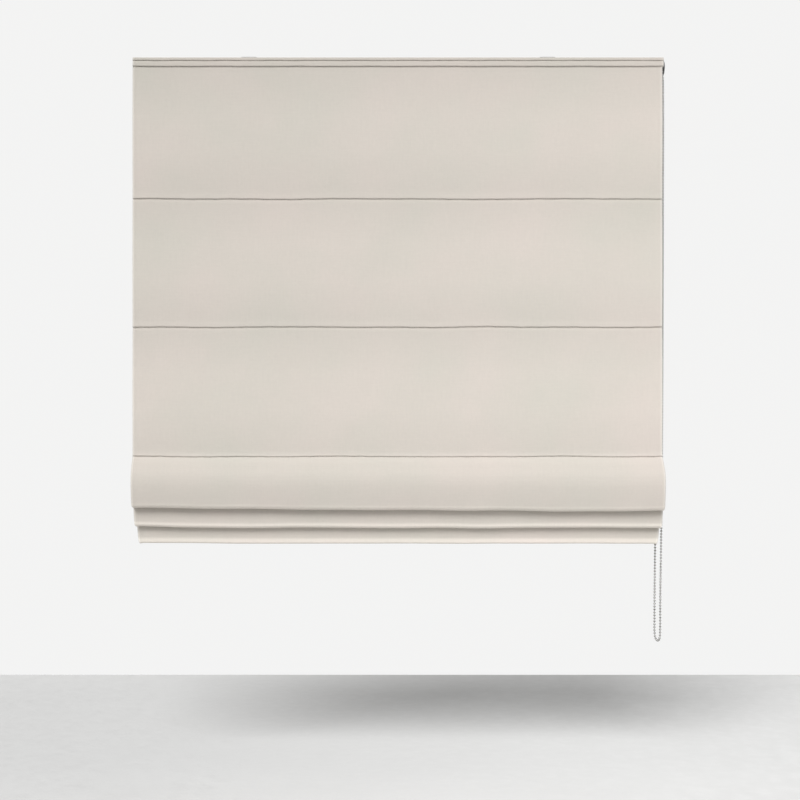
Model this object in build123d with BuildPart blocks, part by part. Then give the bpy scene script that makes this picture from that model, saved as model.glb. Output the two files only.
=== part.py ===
"""A roman blind, held half raised by its lift cords, with a bead chain drive.

Millimetres, +Z up.  The origin is the middle of the plane that the head brackets are
screwed to, so the whole blind hangs below it.  The blind's front faces -Y, and its
chain hangs at the +X end.
"""

import math
import os

from build123d import *

# ---------------------------------------------------------------- overall sizes
BLIND_WIDTH = 1063.0
TOP_GAP = 3.0  # from the fixing plane to the cloth's top edge
HEADER_DEPTH = 17.0  # from the cloth's top edge to the lower header seam
FIRST_PANEL = 265.0  # from that seam to the first rod
PANEL_HEIGHT = 258.0  # from one rod to the next where the cloth hangs flat
CLEARANCE = 0.3  # between neighbours that move or are soft
SNUG = 0.1  # between neighbours that are clipped together
SIDE_STEP = 4.5  # from the cloth's left edge to the end of the rail

# ---------------------------------------------------------------- headrail
RAIL_DEPTH = 28.0
RAIL_HEIGHT = 30.0
RAIL_WALL = 1.3
RAIL_TOP = -4.0
RAIL_LIP = 3.5  # how far each lip reaches in from its wall
RAIL_CHANNEL = 5.0  # depth of the upper channel, which the brackets grip
RAIL_LEFT = -BLIND_WIDTH / 2 + SIDE_STEP
RAIL_END_STEP = 8.5  # from the cloth's right edge back to the end of the rail
RAIL_RIGHT = BLIND_WIDTH / 2 - RAIL_END_STEP
RAIL_BOTTOM = RAIL_TOP - RAIL_HEIGHT
RAIL_FRONT = -RAIL_DEPTH / 2
CHAMBER_TOP = RAIL_TOP - RAIL_CHANNEL - RAIL_WALL
CHAMBER_BOTTOM = RAIL_BOTTOM + RAIL_WALL
CHAMBER_HALF = RAIL_DEPTH / 2 - RAIL_WALL
SHAFT_Z = (CHAMBER_TOP + CHAMBER_BOTTOM) / 2

# ---------------------------------------------------------------- head brackets
BRACKET_X = (-300.0, 300.0)
BRACKET_WIDTH = 30.0
BRACKET_PLATE = 1.5
BRACKET_FRONT = 12.0
BRACKET_BACK = 18.0
SCREW_HOLE = 4.5
SCREW_Y = -3.0
LEVER_PIVOT_Y = 3.5
LEVER_HUB_RADIUS = 4.5
LEVER_THICKNESS = 2.0
LEVER_LENGTH = 30.0
LEVER_ANGLE = 35.0
LEVER_HANDLE_WIDTH = 7.0
CAM_REACH = 8.7
RIVET_RADIUS = 2.0
RIVET_HEAD_RADIUS = 3.4
RIVET_HEAD = 0.9

# ---------------------------------------------------------------- cloth
CLOTH = 0.9
LINING = 0.4
TAPE = 1.4  # each half of the hook and loop fastening
TAPE_HEIGHT = 16.0
TAPE_DROP = 3.0  # from the cloth's top edge to the top of the tape
CLOTH_GAP = 0.2
CLOTH_TOP = -TOP_GAP
SEAM_Z = [CLOTH_TOP - HEADER_DEPTH - FIRST_PANEL - k * PANEL_HEIGHT for k in range(3)]
LINING_SHIFT = CLOTH / 2 + CLOTH_GAP + LINING / 2
LINING_BACK_Y = RAIL_FRONT - 2 * TAPE - CLOTH_GAP
CLOTH_Y = LINING_BACK_Y - LINING / 2 - LINING_SHIFT

# ---------------------------------------------------------------- rods and pockets
ROD_RADIUS = 2.0
ROD_INSET = 9.5  # from the cloth's edge to the rod's end
POCKET_RADIUS = 3.0
POCKET_WALL = 0.6
POCKET_INSET = 17.0  # from the cloth's edge to the pocket's end
POCKET_BAND = 9.0  # the flat edge of the pocket tape, above its tube
ROD_CAP_LENGTH = 8.0
ROD_CAP_WALL = 0.8
STACK_PITCH = 14.0  # between the rods that are drawn up together
POCKET_Y = LINING_BACK_Y + CLOTH_GAP + POCKET_RADIUS

# ---------------------------------------------------------------- lift cords
CORD_X = (-400.0, 0.0, 400.0)
CORD_RADIUS = 0.7
SPOOL_RADIUS = 5.6
CORD_Y = -(SPOOL_RADIUS + CLEARANCE + CORD_RADIUS)
RING_WIRE = 0.9
RING_RADIUS = -(POCKET_Y + POCKET_RADIUS) + CORD_Y - CLOTH_GAP - RING_WIRE
CONNECTOR_RADIUS = 3.2
CONNECTOR_LENGTH = 11.0

# ---------------------------------------------------------------- spools and shaft
SPOOL_LENGTH = 26.0
SPOOL_FLANGE_RADIUS = 8.4
SPOOL_FLANGE = 1.0
SPOOL_JOURNAL_RADIUS = 4.6
CASSETTE_CHEEK = 3.0
SHAFT_FLATS = 6.0  # across the flats of the hexagonal shaft
BORE_CLEARANCE = 0.15

# ---------------------------------------------------------------- bead chain and its drive
BEAD_PITCH = 6.0
BEAD_DIAMETER = 4.5
WHEEL_BEADS = 12
WHEEL_PITCH_RADIUS = WHEEL_BEADS * BEAD_PITCH / (2 * math.pi)
WHEEL_WIDTH = 5.8
WHEEL_LIP = 0.4  # how far the wheel's rim stands past the beads' centres
CUP_RADIUS = 1.6
CUP_DEPTH = 0.8
CUP_START = 15.0
FLANGE = 4.4  # the control housing's flange outside the rail
WHEEL_X = RAIL_RIGHT + FLANGE + CLEARANCE + WHEEL_WIDTH / 2
HUB_RADIUS = 7.0
HUB_WALL = 1.5
HUB_LENGTH = 22.0
SOCKET_LENGTH = 5.0
GUARD_WALL = 1.0
GUARD_BOTTOM = -24.0
GUARD_PLATE_RADIUS = 13.0
SPINDLE_RADIUS = 3.5
SPRING_WIRE = 0.5
SPRING_TURNS = 7
PLUG_LENGTH = 24.0

# ---------------------------------------------------------------- bottom bar
BAR_HEIGHT = 20.0
BAR_THICKNESS = 3.0
BAR_INSET = 26.0  # from the cloth's edge, which is drawn in at the hem
BAR_CAP = 6.0
HEM_HEIGHT = 30.0
HEM_TURN = 2.3

# ---------------------------------------------------------------- the drawn-up folds
FOLD_1_DROP = 105.0  # from the third rod to each bottom
FOLD_2_DROP = 142.5
HEM_DROP = 175.0
FOLD_1_BOTTOM = SEAM_Z[2] - FOLD_1_DROP
FOLD_2_BOTTOM = SEAM_Z[2] - FOLD_2_DROP
HEM_BOTTOM = SEAM_Z[2] - HEM_DROP
FOLD_1_DEPTH = 31.5  # how far the first fold stands out from the flat cloth
FOLD_1_TURN = 8.5  # the first fold's roundness at its bottom
FOLD_SPACING = 3.0  # between the first fold and the second
FOLD_2_WIDTH = 10.6
FOLD_GAP = 3.15  # between the second fold and the hem
FOLD_FLAT = 0.5  # the least flat at a fold's bottom, each side of its middle
APEX_TURN = 1.2
FOLD_1_INSET = 2.5  # how far the cloth's side edges are drawn in at each fold
HEM_INSET = 11.5

os.makedirs("parts", exist_ok=True)


def keep(part, label):
    """Names a finished piece and writes it."""
    part.label = label
    export_step(part, f"parts/{label}.step")


# ================================================================ headrail
# An aluminium extrusion: a shallow channel on top for the brackets, and a chamber
# below it, open between two lips, for the cord spools.
with BuildPart() as headrail:
    with BuildSketch(Plane.YZ.offset(RAIL_LEFT)):
        with Locations((0, (RAIL_TOP + RAIL_BOTTOM) / 2)):
            RectangleRounded(RAIL_DEPTH, RAIL_HEIGHT, 0.6)
        with Locations((0, (CHAMBER_TOP + CHAMBER_BOTTOM) / 2)):
            Rectangle(2 * CHAMBER_HALF, CHAMBER_TOP - CHAMBER_BOTTOM, mode=Mode.SUBTRACT)
        with Locations((0, RAIL_TOP - (RAIL_WALL + RAIL_CHANNEL) / 2)):
            Rectangle(2 * CHAMBER_HALF, RAIL_CHANNEL - RAIL_WALL, mode=Mode.SUBTRACT)
        with Locations((0, RAIL_TOP), (0, RAIL_BOTTOM)):
            Rectangle(2 * (CHAMBER_HALF - RAIL_LIP), 2.5 * RAIL_WALL, mode=Mode.SUBTRACT)
    extrude(amount=RAIL_RIGHT - RAIL_LEFT)
keep(headrail.part, "headrail")

# ================================================================ fastening tapes
# The hook tape is stuck along the rail's front, and the loop tape is sewn to the back
# of the cloth's header.
TAPE_Z = CLOTH_TOP - TAPE_DROP - TAPE_HEIGHT / 2
for tape_name, tape_y in (("hook_tape", RAIL_FRONT - TAPE / 2), ("loop_tape", RAIL_FRONT - 1.5 * TAPE)):
    with BuildPart() as tape:
        with BuildSketch(Plane.YZ.offset(RAIL_LEFT)):
            with Locations((tape_y, TAPE_Z)):
                Rectangle(TAPE, TAPE_HEIGHT)
        extrude(amount=RAIL_RIGHT - RAIL_LEFT)
    keep(tape.part, tape_name)


# ================================================================ head brackets
LIP_EDGE = CHAMBER_HALF - RAIL_LIP
FOOT_TOP = RAIL_TOP - RAIL_WALL - SNUG
TONGUE_WIDTH = 20.0
HANDLE_TOP = -BRACKET_PLATE - BORE_CLEARANCE
CAM_BOTTOM = RAIL_TOP - RAIL_WALL - CLEARANCE - LEVER_THICKNESS
PIN_FIT = 0.08


def head_bracket(x):
    """A steel plate screwed up under the recess, with a tongue under the rail's front lip."""
    with BuildPart() as bracket:
        with BuildSketch(Plane.XY.offset(-BRACKET_PLATE)):
            with Locations((x, (BRACKET_BACK - BRACKET_FRONT) / 2)):
                RectangleRounded(BRACKET_WIDTH, BRACKET_FRONT + BRACKET_BACK, 3)
            with Locations((x, SCREW_Y)):
                Circle(SCREW_HOLE / 2, mode=Mode.SUBTRACT)
            with Locations((x, LEVER_PIVOT_Y)):
                Circle(RIVET_RADIUS, mode=Mode.SUBTRACT)
        extrude(amount=BRACKET_PLATE)
        with BuildSketch(Plane.YZ.offset(x - TONGUE_WIDTH / 2)):
            with BuildLine():
                leg_front = -LIP_EDGE + CLEARANCE
                Polyline(
                    (leg_front, -BRACKET_PLATE / 2),
                    (leg_front, FOOT_TOP),
                    (-CHAMBER_HALF + CLEARANCE, FOOT_TOP),
                    (-CHAMBER_HALF + CLEARANCE, FOOT_TOP - BRACKET_PLATE),
                    (leg_front + BRACKET_PLATE, FOOT_TOP - BRACKET_PLATE),
                    (leg_front + BRACKET_PLATE, -BRACKET_PLATE / 2),
                    close=True,
                )
            make_face()
        extrude(amount=TONGUE_WIDTH)
    return bracket.part


def release_lever(x):
    """A cam that turns under the rail's back lip, with its handle out behind the rail."""
    with BuildPart() as lever:
        with BuildSketch(Plane.XY.offset(CAM_BOTTOM)):
            with Locations((x, LEVER_PIVOT_Y)):
                Circle(LEVER_HUB_RADIUS)
        extrude(amount=HANDLE_TOP - CAM_BOTTOM)
        with BuildSketch(Plane.XY.offset(CAM_BOTTOM)):
            with Locations((x, LEVER_PIVOT_Y + CAM_REACH / 2)):
                SlotOverall(CAM_REACH, 6, rotation=90)
        extrude(amount=LEVER_THICKNESS)
        with BuildSketch(Plane.XY.offset(HANDLE_TOP - LEVER_THICKNESS)):
            with Locations(Location((x, LEVER_PIVOT_Y, 0), (0, 0, LEVER_ANGLE))):
                with Locations((LEVER_LENGTH / 2, 0)):
                    SlotOverall(LEVER_LENGTH, LEVER_HANDLE_WIDTH)
        extrude(amount=LEVER_THICKNESS)
        with Locations((x, LEVER_PIVOT_Y, 0)):
            Hole(RIVET_RADIUS + PIN_FIT)
    return lever.part


for side, bracket_x in zip(("left", "right"), BRACKET_X):
    keep(head_bracket(bracket_x), f"head_bracket_{side}")
    keep(release_lever(bracket_x), f"release_lever_{side}")

with BuildPart() as lever_rivets:
    with Locations(*[(x, LEVER_PIVOT_Y, 0) for x in BRACKET_X]):
        Cylinder(RIVET_RADIUS, -CAM_BOTTOM, align=(Align.CENTER, Align.CENTER, Align.MAX))
    with Locations(*[(x, LEVER_PIVOT_Y, CAM_BOTTOM - BORE_CLEARANCE) for x in BRACKET_X]):
        Cylinder(RIVET_HEAD_RADIUS, RIVET_HEAD, align=(Align.CENTER, Align.CENTER, Align.MAX))
        Cylinder(RIVET_RADIUS, BORE_CLEARANCE, align=(Align.CENTER, Align.CENTER, Align.MIN))
keep(lever_rivets.part, "lever_rivets")

# ================================================================ cord spools
CASSETTE_HALF_Z = (CHAMBER_TOP - CHAMBER_BOTTOM) / 2 - CLEARANCE
CASSETTE_CAVITY = SPOOL_FLANGE_RADIUS + 0.8
JOURNAL_SLOT = SPOOL_JOURNAL_RADIUS + CLEARANCE
SPOOL_SPACE = SPOOL_LENGTH + 2 * CLEARANCE


def cord_cassette(x):
    """A cradle that sits on the rail's lips and carries one spool, open at the top."""
    length = SPOOL_SPACE + 2 * CASSETTE_CHEEK
    with BuildPart() as cassette:
        with BuildSketch(Plane.YZ.offset(x - length / 2)):
            with Locations((0, SHAFT_Z)):
                Rectangle(2 * (CHAMBER_HALF - CLEARANCE), 2 * CASSETTE_HALF_Z)
                Circle(JOURNAL_SLOT, mode=Mode.SUBTRACT)
            with Locations((0, SHAFT_Z + CASSETTE_HALF_Z / 2)):
                Rectangle(2 * JOURNAL_SLOT, CASSETTE_HALF_Z, mode=Mode.SUBTRACT)
        extrude(amount=length)
        with BuildSketch(Plane.YZ.offset(x - SPOOL_SPACE / 2)):
            with Locations((0, SHAFT_Z)):
                Circle(CASSETTE_CAVITY)
            with Locations((0, SHAFT_Z + CASSETTE_HALF_Z / 2)):
                Rectangle(2 * CASSETTE_CAVITY, CASSETTE_HALF_Z)
        extrude(amount=SPOOL_SPACE, mode=Mode.SUBTRACT)
        with Locations((x, CORD_Y, SHAFT_Z)):
            Cylinder(
                CORD_RADIUS + 2 * CLEARANCE,
                2 * CASSETTE_HALF_Z,
                align=(Align.CENTER, Align.CENTER, Align.MAX),
                mode=Mode.SUBTRACT,
            )
    return cassette.part


def cord_spool(x):
    """A flanged drum that slides onto the hexagonal shaft."""
    journal = SPOOL_SPACE + 2 * CASSETTE_CHEEK
    with BuildPart() as spool:
        for radius, length in (
            (SPOOL_JOURNAL_RADIUS, journal),
            (SPOOL_RADIUS, SPOOL_LENGTH),
        ):
            with BuildSketch(Plane.YZ.offset(x - length / 2)):
                with Locations((0, SHAFT_Z)):
                    Circle(radius)
            extrude(amount=length)
        for start in (x - SPOOL_LENGTH / 2, x + SPOOL_LENGTH / 2 - SPOOL_FLANGE):
            with BuildSketch(Plane.YZ.offset(start)):
                with Locations((0, SHAFT_Z)):
                    Circle(SPOOL_FLANGE_RADIUS)
            extrude(amount=SPOOL_FLANGE)
        with BuildSketch(Plane.YZ.offset(x - journal / 2)):
            with Locations((0, SHAFT_Z)):
                RegularPolygon(SHAFT_FLATS / 2 + BORE_CLEARANCE, 6, major_radius=False)
        extrude(amount=journal, mode=Mode.SUBTRACT)
    return spool.part


CORD_NAMES = ("left", "middle", "right")
for side, cord_x in zip(CORD_NAMES, CORD_X):
    keep(cord_cassette(cord_x), f"cord_cassette_{side}")
    keep(cord_spool(cord_x), f"cord_spool_{side}")

# ================================================================ chain wheel and its housing
HUB_END = WHEEL_X - WHEEL_WIDTH / 2 - HUB_LENGTH
GROOVE_RADIUS = BEAD_DIAMETER / 2 + CLEARANCE
GUARD_OUTER = WHEEL_PITCH_RADIUS + BEAD_DIAMETER / 2 + 2 * CLEARANCE + GUARD_WALL
GUARD_PLATE_X = WHEEL_X + WHEEL_WIDTH / 2 + CLEARANCE
FLANGE_X = RAIL_RIGHT + FLANGE

shaft_axis = Axis((0, 0, SHAFT_Z), (1, 0, 0))

with BuildPart() as chain_wheel:
    with BuildSketch(Plane.XZ):
        with Locations((WHEEL_X, SHAFT_Z)):
            Rectangle(WHEEL_WIDTH, WHEEL_PITCH_RADIUS + WHEEL_LIP, align=(Align.CENTER, Align.MIN))
        with Locations((WHEEL_X, SHAFT_Z + WHEEL_PITCH_RADIUS)):
            Circle(GROOVE_RADIUS, mode=Mode.SUBTRACT)
    revolve(axis=shaft_axis)
    with BuildSketch(Plane.YZ.offset(HUB_END)):
        with Locations((0, SHAFT_Z)):
            Circle(HUB_RADIUS)
    extrude(amount=HUB_LENGTH + WHEEL_WIDTH / 2)
    with BuildSketch(Plane.YZ.offset(HUB_END + SOCKET_LENGTH)):
        with Locations((0, SHAFT_Z)):
            Circle(HUB_RADIUS - HUB_WALL)
    extrude(amount=HUB_LENGTH + WHEEL_WIDTH, mode=Mode.SUBTRACT)
    with BuildSketch(Plane.YZ.offset(HUB_END)):
        with Locations((0, SHAFT_Z)):
            RegularPolygon(SHAFT_FLATS / 2 + BORE_CLEARANCE, 6, major_radius=False)
    extrude(amount=SOCKET_LENGTH, mode=Mode.SUBTRACT)
    for cup in range(WHEEL_BEADS):
        angle = math.radians(CUP_START + cup * 360 / WHEEL_BEADS)
        outward = Vector(0, math.cos(angle), math.sin(angle))
        cup_floor = Vector(WHEEL_X, 0, SHAFT_Z) + outward * (WHEEL_PITCH_RADIUS - GROOVE_RADIUS - CUP_DEPTH)
        with BuildSketch(Plane(origin=cup_floor, x_dir=(1, 0, 0), z_dir=outward)):
            Circle(CUP_RADIUS)
        extrude(amount=GROOVE_RADIUS, mode=Mode.SUBTRACT)
keep(chain_wheel.part, "chain_wheel")

with BuildPart() as control_housing:
    with BuildSketch(Plane.YZ.offset(RAIL_RIGHT)):
        with Locations((0, (RAIL_TOP + RAIL_BOTTOM) / 2)):
            RectangleRounded(RAIL_DEPTH, RAIL_HEIGHT, 2)
        with Locations((0, SHAFT_Z)):
            Circle(GUARD_OUTER)
        with Locations((0, RAIL_BOTTOM)):
            Rectangle(4 * GUARD_OUTER, 2 * GUARD_OUTER, align=(Align.CENTER, Align.MAX), mode=Mode.SUBTRACT)
    extrude(amount=FLANGE)
    with BuildSketch(Plane.YZ.offset(RAIL_RIGHT - PLUG_LENGTH)):
        with Locations((0, SHAFT_Z)):
            Rectangle(2 * (CHAMBER_HALF - SNUG), CHAMBER_TOP - CHAMBER_BOTTOM - 2 * SNUG)
    extrude(amount=PLUG_LENGTH)
    with BuildSketch(Plane.YZ.offset(RAIL_RIGHT - PLUG_LENGTH)):
        with Locations((0, SHAFT_Z)):
            Circle(HUB_RADIUS + CLEARANCE)
    extrude(amount=PLUG_LENGTH + FLANGE, mode=Mode.SUBTRACT)
keep(control_housing.part, "control_housing")

# The guard is a rim over the top half of the wheel, closed on its outer side.
with BuildPart() as chain_guard:
    with BuildSketch(Plane.YZ.offset(FLANGE_X)):
        with Locations((0, SHAFT_Z)):
            Circle(GUARD_OUTER)
        with Locations((0, GUARD_BOTTOM)):
            Rectangle(2 * GUARD_OUTER, SHAFT_Z - GUARD_BOTTOM, align=(Align.CENTER, Align.MIN))
            Rectangle(3 * GUARD_OUTER, 2 * GUARD_OUTER, align=(Align.CENTER, Align.MAX), mode=Mode.SUBTRACT)
        with Locations((0, SHAFT_Z)):
            Circle(GUARD_OUTER - GUARD_WALL, mode=Mode.SUBTRACT)
            Rectangle(
                2 * (GUARD_OUTER - GUARD_WALL),
                2 * (SHAFT_Z - GUARD_BOTTOM) + SNUG,
                mode=Mode.SUBTRACT,
            )
    extrude(amount=GUARD_PLATE_X - FLANGE_X)
    with BuildSketch(Plane.YZ.offset(GUARD_PLATE_X)):
        with Locations((0, SHAFT_Z)):
            Circle(GUARD_OUTER)
        with Locations((0, GUARD_BOTTOM)):
            Rectangle(2 * GUARD_OUTER, SHAFT_Z - GUARD_BOTTOM, align=(Align.CENTER, Align.MIN))
            Rectangle(3 * GUARD_OUTER, 2 * GUARD_OUTER, align=(Align.CENTER, Align.MAX), mode=Mode.SUBTRACT)
        with Locations((0, SHAFT_Z)):
            Circle(GUARD_PLATE_RADIUS)
    extrude(amount=GUARD_WALL)
keep(chain_guard.part, "chain_guard")

# The clutch: a fixed spindle on the guard, gripped by a wrap spring inside the wheel's hub.
SPINDLE_START = HUB_END + SOCKET_LENGTH + CLEARANCE
with BuildPart() as clutch_spindle:
    with BuildSketch(Plane.YZ.offset(SPINDLE_START)):
        with Locations((0, SHAFT_Z)):
            Circle(SPINDLE_RADIUS)
    extrude(amount=GUARD_PLATE_X - SPINDLE_START)
keep(clutch_spindle.part, "clutch_spindle")

SPRING_RADIUS = SPINDLE_RADIUS + CLEARANCE + SPRING_WIRE
SPRING_PITCH = 3 * SPRING_WIRE
with BuildPart() as wrap_spring:
    with BuildLine():
        coil = Helix(
            SPRING_PITCH,
            SPRING_TURNS * SPRING_PITCH,
            SPRING_RADIUS,
            center=(SPINDLE_START + 2 * SPRING_PITCH, 0, SHAFT_Z),
            direction=(1, 0, 0),
        )
    with BuildSketch(Plane(origin=coil @ 0, z_dir=coil % 0)):
        Circle(SPRING_WIRE)
    sweep(is_frenet=True)
keep(wrap_spring.part, "wrap_spring")

SHAFT_START = RAIL_LEFT + CLEARANCE
with BuildPart() as drive_shaft:
    with BuildSketch(Plane.YZ.offset(SHAFT_START)):
        with Locations((0, SHAFT_Z)):
            RegularPolygon(SHAFT_FLATS / 2, 6, major_radius=False)
    extrude(amount=HUB_END + SOCKET_LENGTH - CLEARANCE - SHAFT_START)
keep(drive_shaft.part, "drive_shaft")

IDLE_PLATE = 2.0
IDLE_PLUG = 12.0
SHAFT_CORNER = SHAFT_FLATS / math.sqrt(3)
with BuildPart() as idle_end_cap:
    with BuildSketch(Plane.YZ.offset(RAIL_LEFT - IDLE_PLATE)):
        with Locations((0, (RAIL_TOP + RAIL_BOTTOM) / 2)):
            RectangleRounded(RAIL_DEPTH, RAIL_HEIGHT, 2)
    extrude(amount=IDLE_PLATE)
    with BuildSketch(Plane.YZ.offset(RAIL_LEFT)):
        with Locations((0, SHAFT_Z)):
            Rectangle(2 * (CHAMBER_HALF - SNUG), CHAMBER_TOP - CHAMBER_BOTTOM - 2 * SNUG)
            Circle(SHAFT_CORNER + CLEARANCE, mode=Mode.SUBTRACT)
    extrude(amount=IDLE_PLUG)
keep(idle_end_cap.part, "idle_end_cap")

# ================================================================ rods, pockets and rings
# Rods 1 to 3 lie behind the flat cloth.  Rods 4 and 5 are drawn up under rod 3, each on
# top of the crease that its pocket is sewn to.
ROD_Z = SEAM_Z + [SEAM_Z[2] - STACK_PITCH, SEAM_Z[2] - 2 * STACK_PITCH]
CREASE_LAYER = APEX_TURN + LINING_SHIFT + LINING / 2  # from a crease's middle to its lining
ROD_4_Y = POCKET_Y - POCKET_RADIUS - CLEARANCE - CREASE_LAYER
ROD_Y = [POCKET_Y, POCKET_Y, POCKET_Y, ROD_4_Y, POCKET_Y]
ROD_HALF = BLIND_WIDTH / 2 - ROD_INSET
POCKET_HALF = BLIND_WIDTH / 2 - POCKET_INSET


def rod_pocket(y, z, with_band):
    """A cloth tube for a rod, with the flat band by which it is sewn on behind flat cloth."""
    with BuildPart() as pocket:
        with BuildSketch(Plane.YZ.offset(-POCKET_HALF)):
            with Locations((y, z)):
                Circle(POCKET_RADIUS)
                if with_band:
                    with Locations((-POCKET_RADIUS, 0)):
                        Rectangle(POCKET_WALL, POCKET_BAND, align=Align.MIN)
                Circle(POCKET_RADIUS - POCKET_WALL, mode=Mode.SUBTRACT)
        extrude(amount=2 * POCKET_HALF)
    return pocket.part


def stiffening_rod(y, z):
    """A round glass-fibre rod."""
    with BuildPart() as rod:
        with BuildSketch(Plane.YZ.offset(-ROD_HALF)):
            with Locations((y, z)):
                Circle(ROD_RADIUS)
        extrude(amount=2 * ROD_HALF)
    return rod.part


def rod_caps(y, z):
    """The soft caps on a rod's two ends."""
    with BuildPart() as caps:
        with BuildSketch(Plane.YZ.offset(ROD_HALF + ROD_CAP_WALL - ROD_CAP_LENGTH)):
            with Locations((y, z)):
                Circle(ROD_RADIUS + ROD_CAP_WALL)
        extrude(amount=ROD_CAP_LENGTH)
        with BuildSketch(Plane.YZ.offset(ROD_HALF + ROD_CAP_WALL - ROD_CAP_LENGTH)):
            with Locations((y, z)):
                Circle(ROD_RADIUS + SNUG / 2)
        extrude(amount=ROD_CAP_LENGTH - ROD_CAP_WALL + SNUG / 2, mode=Mode.SUBTRACT)
        mirror(about=Plane.YZ)
    return caps.part


def cord_rings(pocket_y, z):
    """One ring on each lift cord, with a neck where its pocket stands further forward."""
    ring_front = CORD_Y - RING_RADIUS - RING_WIRE
    pocket_back = pocket_y + POCKET_RADIUS + CLOTH_GAP
    with BuildPart() as rings:
        for x in CORD_X:
            with Locations((x, CORD_Y, z)):
                Torus(RING_RADIUS, RING_WIRE)
            if ring_front - pocket_back > CLEARANCE:
                with Locations((x, pocket_back, z)):
                    Box(
                        2.4,
                        ring_front + RING_WIRE - pocket_back,
                        1.4,
                        align=(Align.CENTER, Align.MIN, Align.CENTER),
                    )
    return rings.part


for number, (rod_y, rod_z) in enumerate(zip(ROD_Y, ROD_Z), start=1):
    keep(stiffening_rod(rod_y, rod_z), f"rod_{number}")
    keep(rod_pocket(rod_y, rod_z, number <= 3), f"rod_{number}_pocket")
    keep(rod_caps(rod_y, rod_z), f"rod_{number}_caps")
    keep(cord_rings(rod_y, rod_z), f"rod_{number}_rings")

# ================================================================ lift cords
# Each cord runs straight down from the front of its spool, through the rings, to the
# breakaway connector under the lowest ring.
CONNECTOR_TOP = ROD_Z[4] - RING_WIRE - CLEARANCE
CONNECTOR_NECK = 4.0
for side, cord_x in zip(CORD_NAMES, CORD_X):
    with BuildPart() as lift_cord:
        with BuildSketch(Plane.XY.offset(CONNECTOR_TOP + SNUG)):
            with Locations((cord_x, CORD_Y)):
                Circle(CORD_RADIUS)
        extrude(amount=SHAFT_Z - CONNECTOR_TOP - SNUG)
    keep(lift_cord.part, f"lift_cord_{side}")

with BuildPart() as cord_connectors:
    with Locations(*[(x, CORD_Y, CONNECTOR_TOP) for x in CORD_X]):
        Cone(
            CONNECTOR_RADIUS,
            CONNECTOR_RADIUS - 1.2,
            CONNECTOR_NECK,
            align=(Align.CENTER, Align.CENTER, Align.MAX),
        )
    with Locations(*[(x, CORD_Y, CONNECTOR_TOP - CONNECTOR_NECK) for x in CORD_X]):
        Cylinder(
            CONNECTOR_RADIUS,
            CONNECTOR_LENGTH - CONNECTOR_NECK,
            align=(Align.CENTER, Align.CENTER, Align.MAX),
        )
keep(cord_connectors.part, "cord_connectors")


# ================================================================ cloth and lining
def turn_at(before, here, after):
    """The signed turn of a route at one of its points, in radians, left positive."""
    first = math.atan2(here[1] - before[1], here[0] - before[0])
    second = math.atan2(after[1] - here[1], after[0] - here[0])
    return (second - first + math.pi) % (2 * math.pi) - math.pi


def corner_radii(points, tight):
    """A fillet for each inner point: the given tight one, or as large as the runs allow."""
    radii = []
    for before, here, after in zip(points, points[1:], points[2:]):
        shorter = min(math.dist(before, here), math.dist(here, after))
        easy = 0.45 * shorter / math.tan(abs(turn_at(before, here, after)) / 2)
        radii.append(tight.get(here, easy))
    return radii


def shifted(points, radii, distance):
    """The same route moved to its left, with its fillets still concentric."""
    moved = []
    for n, here in enumerate(points):
        before = points[max(n - 1, 0)]
        after = points[min(n + 1, len(points) - 1)]
        sides = []
        for a, b in ((before, here), (here, after)):
            if a != b:
                run = math.dist(a, b)
                sides.append(((a[1] - b[1]) / run, (b[0] - a[0]) / run))
        normal = [sum(side[k] for side in sides) / len(sides) for k in (0, 1)]
        reach = distance / (normal[0] ** 2 + normal[1] ** 2)
        moved.append((here[0] + normal[0] * reach, here[1] + normal[1] * reach))
    turns = [turn_at(*trio) for trio in zip(points, points[1:], points[2:])]
    moved_radii = [r - distance * math.copysign(1, turn) for r, turn in zip(radii, turns)]
    return moved, moved_radii


FLAT_END = SEAM_Z[2] - 1.0
FRONT_Y = CLOTH_Y - FOLD_1_DEPTH
FOLD_1_LOW = FOLD_1_BOTTOM + CLOTH / 2
FOLD_2_LOW = FOLD_2_BOTTOM + CLOTH / 2
HEM_LOW = HEM_BOTTOM + CLOTH / 2
CREASE_4_Z = ROD_Z[3] - POCKET_RADIUS - CLEARANCE - LINING / 2 - LINING_SHIFT
CREASE_5_Z = ROD_Z[4] - POCKET_RADIUS - CLEARANCE - LINING / 2 - LINING_SHIFT
FLAP_Y = ROD_Y[4] + APEX_TURN
HEM_Y = FLAP_Y - 1.2
FOLD_2_BACK = HEM_Y - FOLD_GAP
FOLD_2_FRONT = FOLD_2_BACK - FOLD_2_WIDTH
FOLD_1_BACK = FOLD_2_FRONT - FOLD_SPACING
FOLD_1_ROUND = min(FOLD_1_TURN, (FOLD_1_BACK - FRONT_Y) / 2 - FOLD_FLAT)
HEM_BACK = HEM_Y + 2 * HEM_TURN + CLOTH_GAP
fold_1_corners = [(FRONT_Y, FOLD_1_LOW), (FOLD_1_BACK, FOLD_1_LOW)]
crease_4_corners = [(ROD_Y[3] - APEX_TURN, CREASE_4_Z), (ROD_Y[3] + APEX_TURN, CREASE_4_Z)]
fold_2_corners = [(FOLD_2_FRONT, FOLD_2_LOW), (FOLD_2_BACK, FOLD_2_LOW)]
crease_5_corners = [(ROD_Y[4] - APEX_TURN, CREASE_5_Z), (FLAP_Y, CREASE_5_Z)]
hem_corners = [(HEM_Y, HEM_LOW), (HEM_BACK, HEM_LOW)]
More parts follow.
